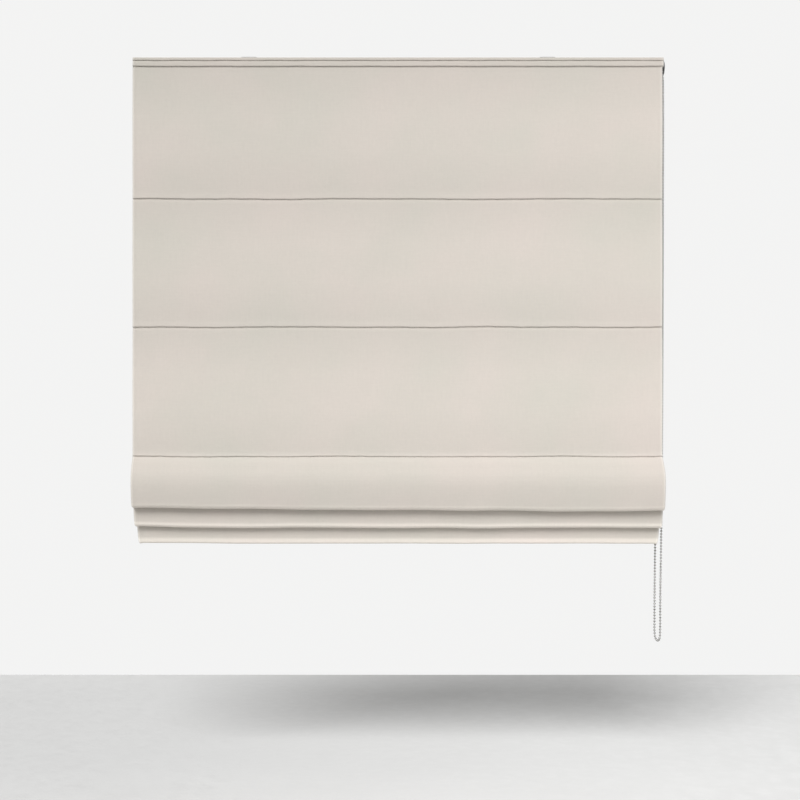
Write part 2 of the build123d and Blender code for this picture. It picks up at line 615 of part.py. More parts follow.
cloth_route = [
    (CLOTH_Y, CLOTH_TOP),
    (CLOTH_Y, FLAT_END),
    (CLOTH_Y - 9.5, FLAT_END - 13),
    (CLOTH_Y - 24, FLAT_END - 46),
    *fold_1_corners,
    (FOLD_1_BACK - 1, FOLD_1_LOW + 36),
    (FOLD_1_BACK - 6, FOLD_1_LOW + 56),
    (ROD_Y[3] - APEX_TURN, CREASE_4_Z - 14),
    *crease_4_corners,
    (ROD_Y[3] + APEX_TURN, CREASE_4_Z - 12),
    (FOLD_2_FRONT + 1.2, FOLD_2_LOW + 75),
    *fold_2_corners,
    (FOLD_2_BACK + 0.8, FOLD_2_LOW + 63),
    (ROD_Y[4] - APEX_TURN, CREASE_5_Z - 12),
    *crease_5_corners,
    (FLAP_Y, CREASE_5_Z - 14),
    (HEM_Y + 0.4, HEM_LOW + 90),
    *hem_corners,
    (HEM_BACK, HEM_LOW + HEM_HEIGHT),
]
tight_corners = {
    **dict.fromkeys(fold_1_corners, FOLD_1_ROUND),
    **dict.fromkeys(fold_2_corners, 5.0),
    **dict.fromkeys(crease_4_corners + crease_5_corners, APEX_TURN - 0.05),
    **dict.fromkeys(hem_corners, HEM_TURN),
}
cloth_radii = corner_radii(cloth_route, tight_corners)

# The lining follows the cloth's back, from the header to the top of the hem.
lining_route, lining_radii = shifted(cloth_route, cloth_radii, LINING_SHIFT)
lining_route = lining_route[:-2]
lining_radii = lining_radii[:-2]
lining_route[-1] = (lining_route[-1][0], HEM_LOW + HEM_HEIGHT + 2)
lining_route[0] = (lining_route[0][0], CLOTH_TOP - TAPE_DROP / 2)


def folded_sheet(route, radii, thickness):
    """A sheet hung and folded along a route in the YZ plane, drawn in at its lower sides."""
    with BuildPart() as sheet:
        with BuildSketch(Plane.YZ.offset(-BLIND_WIDTH / 2)):
            with BuildLine():
                back, back_radii = shifted(route, radii, thickness / 2)
                front, front_radii = shifted(route, radii, -thickness / 2)
                FilletPolyline(*back, radius=back_radii)
                FilletPolyline(*front, radius=front_radii)
                Line(back[0], front[0])
                Line(back[-1], front[-1])
            make_face()
        extrude(amount=BLIND_WIDTH)
        layers = (
            (-(FOLD_1_BACK + 1.2), 40.0, FLAT_END - 30, FOLD_1_BOTTOM, FOLD_1_INSET),
            (-20.0, 20.0 - FOLD_1_BACK - 1.2, CREASE_5_Z, HEM_BOTTOM, HEM_INSET),
        )
        for start, depth, top, bottom, inset in layers:
            edge = BLIND_WIDTH / 2
            with BuildSketch(Plane.XZ.offset(start)):
                with BuildLine():
                    Polyline(
                        (edge, top),
                        (edge - inset, bottom),
                        (edge - inset, bottom - 5),
                        (edge + 5, bottom - 5),
                        (edge + 5, top),
                        close=True,
                    )
                make_face()
                mirror(about=Plane.YZ)
            extrude(amount=depth, mode=Mode.SUBTRACT)
    return sheet.part


keep(folded_sheet(cloth_route, cloth_radii, CLOTH), "face_fabric")
keep(folded_sheet(lining_route, lining_radii, LINING), "lining")

# ================================================================ bottom bar
BAR_HALF = BLIND_WIDTH / 2 - BAR_INSET
BAR_Y = (HEM_Y + HEM_BACK) / 2
BAR_Z = HEM_LOW + CLOTH / 2 + CLEARANCE + BAR_HEIGHT / 2
with BuildPart() as bottom_bar:
    with BuildSketch(Plane.YZ.offset(-BAR_HALF)):
        with Locations((BAR_Y, BAR_Z)):
            RectangleRounded(BAR_THICKNESS, BAR_HEIGHT, BAR_THICKNESS / 2 - 0.1)
    extrude(amount=2 * BAR_HALF)
keep(bottom_bar.part, "bottom_bar")

with BuildPart() as bottom_bar_caps:
    with BuildSketch(Plane.YZ.offset(BAR_HALF)):
        with Locations((BAR_Y, BAR_Z)):
            RectangleRounded(BAR_THICKNESS, BAR_HEIGHT, BAR_THICKNESS / 2 - 0.1)
    extrude(amount=BAR_CAP)
    mirror(about=Plane.YZ)
keep(bottom_bar_caps.part, "bottom_bar_caps")

# ================================================================ bead chain
# A closed loop over the wheel.  Its front strand hangs beside the cloth's edge, and the
# loop is turned a little at the bottom, so that its back strand lies further in.
WHEEL_TOP = SHAFT_Z + WHEEL_PITCH_RADIUS
JOIN_GAP = 0.05  # between the loop's two ends
chain_route = [
    (WHEEL_X, -JOIN_GAP / 2, WHEEL_TOP),
    (WHEEL_X, -WHEEL_PITCH_RADIUS, WHEEL_TOP),
    (WHEEL_X + 0.2, -WHEEL_PITCH_RADIUS, -32),
    (532.8, -11.3, -62),
    (530.9, -7.2, -790),
    (529.2, -7.1, -950),
    (526.6, -9.2, -1085),
    (526.4, -9.9, -1142),
    (526.1, -9.8, -1165.9),
    (524.4, -1.0, -1174.8),
    (522.0, 11.5, -1174.7),
    (520.4, 20.3, -1165.7),
    (520.3, 19.8, -1140),
    (520.3, 19.3, -1088),
    (521.6, 18.2, -965),
    (529.6, 11.9, -75),
    (WHEEL_X + 0.1, WHEEL_PITCH_RADIUS, -33),
    (WHEEL_X, WHEEL_PITCH_RADIUS, WHEEL_TOP),
    (WHEEL_X, JOIN_GAP / 2, WHEEL_TOP),
]


def route_radii(points, wheel_points):
    """Fillets for the chain's route: the wheel's own size there, and easy ones elsewhere."""
    radii = []
    for before, here, after in zip(points, points[1:], points[2:]):
        first = Vector(*here) - Vector(*before)
        second = Vector(*after) - Vector(*here)
        half_turn = math.radians(first.get_angle(second)) / 2
        easy = 0.45 * min(first.length, second.length) / math.tan(half_turn)
        radii.append(wheel_points.get(here, easy))
    return radii


wheel_corners = dict.fromkeys((chain_route[1], chain_route[-2]), WHEEL_PITCH_RADIUS - SNUG)
chain_radii = route_radii(chain_route, wheel_corners)
print("chain radii:", [round(r, 1) for r in chain_radii])
with BuildPart() as bead_chain:
    with BuildLine():
        loop = FilletPolyline(*chain_route, radius=chain_radii)
    with BuildSketch(Plane(origin=loop @ 0, z_dir=loop % 0)):
        Circle(BEAD_DIAMETER / 2)
    sweep()
keep(bead_chain.part, "bead_chain")
chain_length = loop.length
chain_volume = math.pi * (BEAD_DIAMETER / 2) ** 2 * chain_length
print(f"chain length {chain_length:.1f}, beads {chain_length / BEAD_PITCH:.1f}")
print(f"chain volume {bead_chain.part.volume:.1f}, section times length {chain_volume:.1f}")

# The chain's two ends are joined by a sleeve, on the back strand.
CONNECTOR_SHARE = 0.62  # how far down the back strand's long run it sits
SLEEVE_RADIUS = 3.1
SLEEVE_LENGTH = 13.0
back_top = Vector(*chain_route[-4])
back_bottom = Vector(*chain_route[-5])
back_run = back_bottom - back_top
with BuildPart() as chain_connector:
    sleeve_middle = back_top + back_run * CONNECTOR_SHARE
    with BuildSketch(Plane(origin=sleeve_middle, z_dir=back_run.normalized())):
        Circle(SLEEVE_RADIUS)
        Circle(BEAD_DIAMETER / 2 + SNUG / 2, mode=Mode.SUBTRACT)
    extrude(amount=SLEEVE_LENGTH / 2, both=True)
keep(chain_connector.part, "chain_connector")
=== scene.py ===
"""Hangs the cloth, lining, cords and bead chain of a roman blind on its hardware."""

import math
import random

import bpy
import numpy as np
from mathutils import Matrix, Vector


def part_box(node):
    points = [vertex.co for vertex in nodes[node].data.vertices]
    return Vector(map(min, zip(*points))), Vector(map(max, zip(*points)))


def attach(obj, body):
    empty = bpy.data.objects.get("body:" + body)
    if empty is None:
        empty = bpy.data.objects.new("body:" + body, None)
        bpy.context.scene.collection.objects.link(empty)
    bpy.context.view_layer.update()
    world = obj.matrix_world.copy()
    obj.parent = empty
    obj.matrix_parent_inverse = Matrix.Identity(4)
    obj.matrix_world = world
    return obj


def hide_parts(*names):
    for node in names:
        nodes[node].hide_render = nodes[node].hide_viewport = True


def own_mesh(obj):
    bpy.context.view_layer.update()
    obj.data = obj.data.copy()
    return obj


bl_info = {
    "name": "Roman Blind",
    "version": (1, 0, 0),
    "blender": (4, 5, 0),
    "location": "View3D > Sidebar > Blind",
    "description": "Hangs the cloth, lining, cords and bead chain of a roman blind on its hardware",
    "category": "Add Mesh",
}

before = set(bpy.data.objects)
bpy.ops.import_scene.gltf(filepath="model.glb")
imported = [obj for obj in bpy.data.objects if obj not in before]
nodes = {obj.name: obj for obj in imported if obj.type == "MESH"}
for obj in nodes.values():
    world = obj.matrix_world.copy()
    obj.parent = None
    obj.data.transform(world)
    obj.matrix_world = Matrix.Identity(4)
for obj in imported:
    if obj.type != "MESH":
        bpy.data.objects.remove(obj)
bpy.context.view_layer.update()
MM = 0.001


def middle(node):
    """The middle of a piece of hardware."""
    low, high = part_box(node)
    return (low + high) / 2


# ------------------------------------------------------------------ where the cloth hangs
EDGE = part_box("face_fabric")[1].x / MM  # from the middle to the cloth's side edge
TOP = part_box("face_fabric")[1].z / MM
SEAMS = [TOP - middle(f"rod_{k}").z / MM for k in (1, 2, 3)]  # down the cloth from its top
HEADER_ROWS = (6.0, 17.4)  # the two stitch rows across the header, from its top
SEAM_SAG = (1.3, -0.2, 1.8)  # how far each pleat seam hangs under its rod
LINING_STEP = 0.85  # from the middle of the cloth to the middle of the lining
FOLD_1 = [(-45.5, -905.55), (-30.55, -905.55)]
CREASE_4 = [(-20.55, -819.35), (-18.15, -819.35)]
FOLD_2 = [(-27.55, -943.05), (-16.95, -943.05)]
CREASE_5 = [(-15.0, -833.35), (-12.6, -833.35)]
HEM = [(-13.8, -975.55), (-9.0, -975.55)]
CLOTH_ROUTE = [
    (-18.05, TOP),
    (-18.05, -802.0),
    (-27.55, -815.0),
    (-43.5, -848.0),
    *FOLD_1,
    (-31.55, -869.55),
    (-36.55, -849.55),
    (-20.55, -833.35),
    *CREASE_4,
    (-18.15, -831.35),
    (-26.35, -868.05),
    *FOLD_2,
    (-16.15, -880.05),
    (-15.0, -845.35),
    *CREASE_5,
    (-12.6, -847.35),
    (-13.4, -885.55),
    *HEM,
    (-9.0, -945.55),
]
TURNS = {
    **dict.fromkeys(FOLD_1, 7.2),
    **dict.fromkeys(FOLD_2, 5.0),
    **dict.fromkeys(CREASE_4 + CREASE_5, 1.15),
    **dict.fromkeys(HEM, 2.3),
}
CHAIN_ROUTE = [
    (0.5306, -0.000025, -0.01004),
    (0.5306, -0.011459, -0.01004),
    (0.5308, -0.011459, -0.032),
    (0.5328, -0.0113, -0.062),
    (0.5309, -0.0072, -0.790),
    (0.5292, -0.0071, -0.950),
    (0.5266, -0.0092, -1.085),
    (0.5264, -0.0099, -1.142),
    (0.5261, -0.0098, -1.1659),
    (0.5244, -0.0010, -1.1748),
    (0.5220, 0.0115, -1.1747),
    (0.5204, 0.0203, -1.1657),
    (0.5203, 0.0198, -1.140),
    (0.5203, 0.0193, -1.088),
    (0.5216, 0.0182, -0.965),
    (0.5296, 0.0119, -0.075),
    (0.5307, 0.011459, -0.033),
    (0.5306, 0.011459, -0.01004),
    (0.5306, 0.000025, -0.01004),
]


class BlindCloth(bpy.types.PropertyGroup):
    """What the blind's cloth is like."""

    colour: bpy.props.FloatVectorProperty(
        name="Cloth", description="The face cloth's colour", subtype="COLOR",
        default=(0.612, 0.555, 0.508), min=0, max=1,
    )
    cool: bpy.props.FloatVectorProperty(
        name="Cool tint", description="The greyer tint that the cloth drifts to", subtype="COLOR",
        default=(0.572, 0.543, 0.488), min=0, max=1,
    )
    lining: bpy.props.FloatVectorProperty(
        name="Lining", description="The lining's colour", subtype="COLOR",
        default=(0.74, 0.715, 0.655), min=0, max=1,
    )
    thickness: bpy.props.FloatProperty(
        name="Thickness", description="How thick the face cloth is", default=0.0007, unit="LENGTH"
    )
    lip: bpy.props.FloatProperty(
        name="Seam lip", description="How far the cloth stands out over each pleat seam",
        default=0.0025, unit="LENGTH",
    )
    waver: bpy.props.FloatProperty(
        name="Seam waver", description="How far a pleat seam strays from level", default=0.0013, unit="LENGTH"
    )
    billow: bpy.props.FloatProperty(
        name="Billow", description="How far a flat panel swells between its rods",
        default=0.0024, unit="LENGTH",
    )
    stitch: bpy.props.FloatProperty(
        name="Stitch", description="The length of one stitch", default=0.002, unit="LENGTH"
    )


class BlindChain(bpy.types.PropertyGroup):
    """What the operating chain is like."""

    bead: bpy.props.FloatProperty(name="Bead", description="A bead's diameter", default=0.0045, unit="LENGTH")
    pitch: bpy.props.FloatProperty(
        name="Pitch", description="From one bead to the next", default=0.006, unit="LENGTH"
    )
    wire: bpy.props.FloatProperty(
        name="Wire", description="The diameter of the wire between beads", default=0.0012, unit="LENGTH"
    )


class BlindStage(bpy.types.PropertyGroup):
    """The floor, light and camera round the blind."""

    floor: bpy.props.FloatProperty(
        name="Floor", description="The floor's height", default=-1.42, unit="LENGTH"
    )
    sky: bpy.props.FloatProperty(
        name="Backdrop", description="How bright the backdrop is", default=0.90, min=0
    )
    ambient: bpy.props.FloatProperty(
        name="Ambient", description="How brightly the backdrop lights the blind", default=0.26, min=0
    )
    key: bpy.props.FloatProperty(
        name="Key light", description="The strength of the high front light", default=3.14, min=0
    )
    sill: bpy.props.FloatProperty(
        name="Sill light", description="The power of the light thrown up from below",
        default=0.7, unit="POWER",
    )
    fill: bpy.props.FloatProperty(
        name="Fill light", description="The power of the side light", default=8.0, unit="POWER"
    )


# ------------------------------------------------------------------ working on meshes
def deselect():
    """Leaves nothing selected."""
    bpy.ops.object.select_all(action="DESELECT")


def only(*objs):
    """Selects these objects and nothing else."""
    deselect()
    for obj in objs:
        obj.select_set(True)
    bpy.context.view_layer.objects.active = objs[0]


def added(name):
    """The primitive just added, named."""
    obj = bpy.context.object
    obj.name = obj.data.name = name
    return obj


def modified(obj, kind, **values):
    """Adds a modifier with these values and applies it."""
    only(obj)
    modifier = obj.modifiers.new(kind.title(), kind)
    for key, value in values.items():
        setattr(modifier, key, value)
    bpy.ops.object.modifier_apply(modifier=modifier.name)
    return obj


def joined(*objs):
    """Joins these objects into the first."""
    only(*objs)
    bpy.ops.object.join()
    return objs[0]


def smooth(obj, angle=40):
    """Shades an object smooth, apart from edges sharper than an angle."""
    only(obj)
    bpy.ops.object.shade_smooth_by_angle(angle=math.radians(angle))
    return obj


def finished(obj, material, body=None):
    """Leaves a piece at the origin with its finish on, riding with a body."""
    only(obj)
    bpy.ops.object.transform_apply(location=True, rotation=True, scale=True)
    obj.data.materials.clear()
    obj.data.materials.append(material)
    if body:
        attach(obj, body)
    return obj


def points_of(obj):
    """An object's vertices as rows of x, y and z."""
    places = np.empty(len(obj.data.vertices) * 3)
    obj.data.vertices.foreach_get("co", places)
    return places.reshape(-1, 3)


def put(obj, places):
    """Moves an object's vertices to these rows of x, y and z."""
    obj.data.vertices.foreach_set("co", np.asarray(places, float).ravel())
    obj.data.update()


def ripple(x, seed, longest, count=4):
    """A smooth wandering value from about -1 to 1 along x, its longest wave first."""
    chance = random.Random(seed)
    total = np.zeros_like(x, float)
    for k in range(count):
        wave = longest / (1 + 0.85 * k) * chance.uniform(0.85, 1.15)
        total += np.sin(2 * math.pi * x / wave + chance.uniform(0, 2 * math.pi)) / (1 + 0.55 * k)
    return total / 1.9


# ------------------------------------------------------------------ the cloth's route
def rounded(points, turns):
    """A route's rounded line, as rows of y and z close together, in millimetres."""
    line = [np.array(points[0])]
    for before, here, after in zip(points, points[1:], points[2:]):
        a, b, c = np.array(before), np.array(here), np.array(after)
        into, out = (b - a) / np.linalg.norm(b - a), (c - b) / np.linalg.norm(c - b)
        turn = math.atan2(into[0] * out[1] - into[1] * out[0], into @ out)
        shorter = min(np.linalg.norm(b - a), np.linalg.norm(c - b))
        half = math.tan(abs(turn) / 2)
        radius = turns.get(here, 0.45 * shorter / half)
        side = math.copysign(1, turn)
        centre = b - into * radius * half + side * radius * np.array([-into[1], into[0]])
        first = b - into * radius * half - centre
        steps = max(3, math.ceil(math.degrees(abs(turn)) / 6))
        for k in range(steps + 1):
            angle = turn * k / steps
            cos, sin = math.cos(angle), math.sin(angle)
            line.append(centre + np.array([first[0] * cos - first[1] * sin, first[0] * sin + first[1] * cos]))
    line.append(np.array(points[-1]))
    return np.array(line)


LINE = rounded(CLOTH_ROUTE, TURNS)
ALONG = np.concatenate([[0], np.cumsum(np.linalg.norm(np.diff(LINE, axis=0), axis=1))])
CUT_LENGTH = ALONG[-1]


def route_at(s):
    """y, z and the way towards the lining, at a distance down the cloth."""
    y, z = np.interp(s, ALONG, LINE[:, 0]), np.interp(s, ALONG, LINE[:, 1])
    step = 0.25
    ahead, behind = np.minimum(s + step, CUT_LENGTH), np.maximum(s - step, 0)
    dy = np.interp(ahead, ALONG, LINE[:, 0]) - np.interp(behind, ALONG, LINE[:, 0])
    dz = np.interp(ahead, ALONG, LINE[:, 1]) - np.interp(behind, ALONG, LINE[:, 1])
    length = np.hypot(dy, dz)
    return y, z, -dz / length, dy / length


def down_to(place):
    """How far down the cloth a corner of its route is."""
    return ALONG[np.argmin(np.hypot(LINE[:, 0] - place[0], LINE[:, 1] - place[1]))]


FOLD_1_AT = down_to((-38.0, -905.55))
FOLD_2_AT = down_to((-22.25, -943.05))
HEM_AT = down_to((-11.4, -975.55))
SPLIT = 790.0  # just over the third seam, where the cloth starts to move as one with the raised folds


def seam_line(x, k):
    """How far pleat seam k strays down at x."""
    cloth = bpy.context.scene.blind_cloth
    return SEAM_SAG[k] + cloth.waver / MM * (0.8 * ripple(x, 40 + k, 420, 3) + 0.3 * ripple(x, 70 + k, 46, 3))


def ease(share, fall):
    """A plump band from 0 to 1 across: it rises in a round shoulder and falls steeply at its end."""
    shoulder = np.clip(1 - (1 - np.minimum(share / 0.4, 1)) ** 2, 0, 1) ** 0.5
    return shoulder * np.clip((1 - share) / fall, 0, 1) ** 0.5


def header_end(s):
    """1 away from the line where the header meets the panels, and 0 on it."""
    return np.clip(np.abs(s - HEADER_ROWS[1]) / 1.5, 0, 1)


def rise(x, s):
    """How far the cloth stands forward of its route, at x across and s down, in millimetres."""
    cloth = bpy.context.scene.blind_cloth
    lip = cloth.lip / MM
    first = HEADER_ROWS[0] + 0.3 * ripple(x, 61, 90, 3)
    second = HEADER_ROWS[1] + 0.35 * header_end(s) * ripple(x, 62, 130, 4)
    upper, lower = np.clip(s / first, 0, 1), np.clip((s - first) / (second - first), 0, 1)
    header = np.where(s < first, 2.1 * ease(upper, 0.09), 2.6 * ease(lower, 0.045) * (0.2 + 0.8 * lower**0.6))
    total = np.where(s < second, header, 0.9 * (1 - np.exp(-(((s - second) / 6) ** 2))))
    for k, seam in enumerate(SEAMS):
        below = s - seam - seam_line(x, k)
        lap = 1 - 0.5 * (1 - np.exp(-((below / 9) ** 2)))
        over = lip * (1 - np.exp(-((below / 0.5) ** 2))) * lap
        under = 0.9 * (1 - np.exp(-((below / 4.2) ** 2)))
        near = np.exp(-((below / 34) ** 4))
        total = total * (1 - near) + near * np.where(below < 0, over, under)
        beside = np.exp(-((below / 10) ** 2)) * (1 - np.exp(-((below / 1.2) ** 2)))
        total = total + 0.16 * ripple(x, 90 + k, 23, 4) * beside
    tops = [HEADER_ROWS[1], *SEAMS]
    for k, (top, bottom) in enumerate(zip(tops, SEAMS)):
        share = np.clip((s - top) / (bottom - top), 0, 1)
        swell = np.sin(np.pi * share) ** 0.9
        drift = 1 + 0.35 * ripple(x + 90 * share, 10 + k, 640, 4)
        total = total + cloth.billow / MM * swell * drift
        total = total + 0.35 * np.sin(np.pi * share) * ripple(x + 60 * share, 20 + k, 190, 4)
    fall = np.clip((s - SEAMS[2]) / 40, 0, 1) * np.clip((FOLD_1_AT - 8 - s) / 20, 0, 1)
    return total + fall * (0.9 * ripple(x, 31, 300, 4) + 0.5)


def drop(x, s):
    """How far a hanging fold dips at x, in millimetres, downwards."""
    first = (1.2 + 2.6 * np.tanh(x / 330) + 0.9 * ripple(x, 51, 520, 4) - 1.2 * np.clip(x - 440, 0, 90) / 90)
    second = 0.9 * ripple(x, 52, 480, 4) + 0.6
    third = 0.35 * ripple(x, 53, 380, 3) + 0.5
    left = np.clip((-x - 330) / 200, 0, 1)
    first, second, third = first - 2.6 * left, second - 3.4 * left, third - 1.5 * left
    return (
        first * np.exp(-(((s - FOLD_1_AT) / 52) ** 2))
        + second * np.exp(-(((s - FOLD_2_AT) / 52) ** 2))
        + third * np.exp(-(((s - HEM_AT) / 34) ** 2))
    )


def drawn_in(x, s, y, z):
    """How far the side edges are drawn in at a place on the route, in millimetres."""
    front = 2.5 * np.clip((-832 - z) / 74, 0, 1)
    between = 5.0 * np.clip((-833 - z) / 110, 0, 1)
    behind = 10.8 * np.clip((-833 - z) / 142.6, 0, 1)
    near, far = np.clip((y + 31) / 3, 0, 1), np.clip((y + 25) / 5, 0, 1)
    folds = front * (1 - near) + (between * (1 - far) + behind * far) * near
    corners = sum(1.6 * np.exp(-(((s - at) / 5.5) ** 2)) for at in (FOLD_1_AT, FOLD_2_AT, HEM_AT))
    chain_side = np.clip((s - HEADER_ROWS[1]) / 3, 0, 1) * np.clip((SEAMS[2] + 40 - s) / 40, 0, 1)
    return folds + corners + np.where(x > 0, 2.9 * chain_side, 0)


def rows_between(start, end, widest=9.0):
    """Places down the cloth, close together at seams and round folds."""
    places = set(np.linspace(start, end, math.ceil((end - start) / widest) + 1).round(2))
    steps = (0.45, 0.9, 1.4, 2.0, 2.8, 3.8, 5.2, 7.0, 9.5, 13.0)
    for seam in SEAMS:
        places.update(seam + side * step for step in (0.0, *steps) for side in (-1, 1))
    for row in HEADER_ROWS:
        places.update(row + side * step for step in (0.0, 0.45, 0.9, 1.5, 2.6, 4.0) for side in (-1, 1))
    places.update((0.5, 1.0, 2.0, 7.0, 12.0))
    places.update(s for s in ALONG if s > SEAMS[2])
    inside = sorted(p for p in places if start < p < end)
    kept = [start]
    for place in inside:
        if place - kept[-1] >= 0.4:
            kept.append(place)
    if end - kept[-1] < 0.3:
        kept.pop()
    return np.array([*kept, end])


def hung(name, columns, depths, rows, thickness):
    """A sheet laid along the cloth's route: columns across and depths behind it, rows down."""
    deselect()
    bpy.ops.mesh.primitive_grid_add(x_subdivisions=len(columns[0]) - 1, y_subdivisions=len(rows) - 1, size=1)
    obj = added(name)
    x, s = columns, rows[:, None] + 0 * columns
    y, z, back_y, back_z = route_at(s)
    out = depths - rise(x, s)
    drawn = x * (1 - drawn_in(x, s, y, z) / EDGE)
    places = np.stack([drawn, y + back_y * out, z + back_z * out - drop(x, s)], axis=-1)
    put(obj, places.reshape(-1, 3) * MM)
    marks = np.stack([x, s], axis=-1).reshape(-1, 2) * MM
    corners = np.empty(len(obj.data.loops), int)
    obj.data.loops.foreach_get("vertex_index", corners)
    obj.data.uv_layers.active.name = "Cloth"
    obj.data.uv_layers.active.uv.foreach_set("vector", marks[corners].ravel())
    modified(obj, "SOLIDIFY", thickness=thickness, offset=0.0)
    return smooth(obj, 50)


# ------------------------------------------------------------------ finishes
# The pale strip along each side edge is a painted highlight where the rolled hem catches the light, with some
# wear.
EDGE_HIGHLIGHT_AND_WEAR_BAND = (4.2, 1.8)  # in from the side edge, where the painted highlight and wear on the rolled edge start and are strongest
EDGE_HIGHLIGHT_AND_WEAR_COLOUR = (0.74, 0.71, 0.66, 1)


def sockets(group, inputs, outputs):
    """Gives a node group its sockets, and returns its two end nodes."""
    for name, kind, default in inputs:
        made = group.interface.new_socket(name, in_out="INPUT", socket_type=kind)
        if default is not None:
            made.default_value = default
    for name, kind in outputs:
        group.interface.new_socket(name, in_out="OUTPUT", socket_type=kind)
    return group.nodes.new("NodeGroupInput"), group.nodes.new("NodeGroupOutput")


def node(tree, kind, operation=None, **values):
    """A node, with its inputs set to values or joined to sockets by name or number."""
    made = tree.nodes.new("ShaderNode" + kind)
    if operation:
        made.operation = operation
    for key, value in values.items():
        spot = made.inputs[int(key[1:])] if key[0] == "_" else made.inputs[key.replace("__", " ")]
        if isinstance(value, bpy.types.NodeSocket):
            tree.links.new(value, spot)
        else:
            spot.default_value = value
    return made


def mixed(tree, share, first, second):
    """Two colours mixed by a share."""
    made = tree.nodes.new("ShaderNodeMix")
    made.data_type = "RGBA"
    for spot, value in ((0, share), (6, first), (7, second)):
        if isinstance(value, bpy.types.NodeSocket):
            tree.links.new(value, made.inputs[spot])
        else:
            made.inputs[spot].default_value = value
    return made.outputs[2]


def weave_group():
    """Crossing threads with slubs: how high the cloth stands, and how thick its threads are."""
    group = bpy.data.node_groups.get("weave")
    if group:
        return group
    group = bpy.data.node_groups.new("weave", "ShaderNodeTree")
    start, end = sockets(
        group,
        [("Vector", "NodeSocketVector", None), ("Threads", "NodeSocketFloat", 900.0)],
        [("Height", "NodeSocketFloat"), ("Slub", "NodeSocketFloat")],
    )
    split = node(group, "SeparateXYZ", _0=start.outputs["Vector"])
    waves = []
    for axis in (0, 1):
        turns = node(group, "Math", "MULTIPLY", _0=split.outputs[axis], _1=start.outputs["Threads"])
        waves.append(node(group, "Math", "SINE", _0=turns.outputs[0]).outputs[0])
    woven = node(group, "Math", "MULTIPLY", _0=waves[0], _1=waves[1])
    slubs = []
    for scale in ((420.0, 26.0, 1.0), (26.0, 420.0, 1.0)):
        stretched = node(group, "Mapping", _0=start.outputs["Vector"], Scale=scale)
        noise = node(group, "TexNoise", Vector=stretched.outputs[0], Scale=1.0, Detail=2.0)
        slubs.append(noise.outputs["Fac"])
    slub = node(group, "Math", "ADD", _0=slubs[0], _1=slubs[1])
    height = node(group, "Math", "MULTIPLY_ADD", _0=woven.outputs[0], _1=0.22, _2=slub.outputs[0])
    group.links.new(height.outputs[0], end.inputs["Height"])
    group.links.new(slub.outputs[0], end.inputs["Slub"])
    return group


def mottle_group():
    """Broad soft drifts between two tints, with a finer grain of light and dark over them."""
    group = bpy.data.node_groups.get("mottle")
    if group:
        return group
    group = bpy.data.node_groups.new("mottle", "ShaderNodeTree")
    start, end = sockets(
        group,
        [
            ("Vector", "NodeSocketVector", None),
            ("Scale", "NodeSocketFloat", 6.0),
            ("First", "NodeSocketColor", (0.8, 0.8, 0.8, 1)),
            ("Second", "NodeSocketColor", (0.7, 0.7, 0.7, 1)),
            ("Grain", "NodeSocketFloat", 0.05),
        ],
        [("Colour", "NodeSocketColor"), ("Mask", "NodeSocketFloat")],
    )
    broad = node(group, "TexNoise", Vector=start.outputs["Vector"], Scale=start.outputs["Scale"], Detail=3.0)
    spread = node(group, "MapRange", Value=broad.outputs["Fac"], _1=0.3, _2=0.7)
    tint = mixed(group, spread.outputs[0], start.outputs["First"], start.outputs["Second"])
    fine = node(group, "Math", "MULTIPLY", _0=start.outputs["Scale"], _1=34.0)
    grain = node(group, "TexNoise", Vector=start.outputs["Vector"], Scale=fine.outputs[0], Detail=4.0)
    centred = node(group, "Math", "SUBTRACT", _0=grain.outputs["Fac"], _1=0.5)
    share = node(group, "Math", "MULTIPLY_ADD", _0=centred.outputs[0], _1=start.outputs["Grain"], _2=1.0)
    toned = node(group, "VectorMath", "SCALE", _0=tint, Scale=share.outputs[0])
    group.links.new(toned.outputs[0], end.inputs["Colour"])
    group.links.new(spread.outputs[0], end.inputs["Mask"])
    return group


def placed(tree, group, **values):
    """A group placed in a material, with its inputs set or joined."""
    made = tree.nodes.new("ShaderNodeGroup")
    made.node_tree = group
    for key, value in values.items():
        if isinstance(value, bpy.types.NodeSocket):
            tree.links.new(value, made.inputs[key])
        else:
            made.inputs[key].default_value = value
    return made


def begun(name, **constants):
    """A new material with its shader, and constants set on the shader's own sockets."""
    material = bpy.data.materials.new(name)
    material.use_nodes = True
    tree = material.node_tree
    shader = tree.nodes["Principled BSDF"]
    for key, value in constants.items():
        shader.inputs[key.replace("_", " ")].default_value = value
    return material, tree, shader


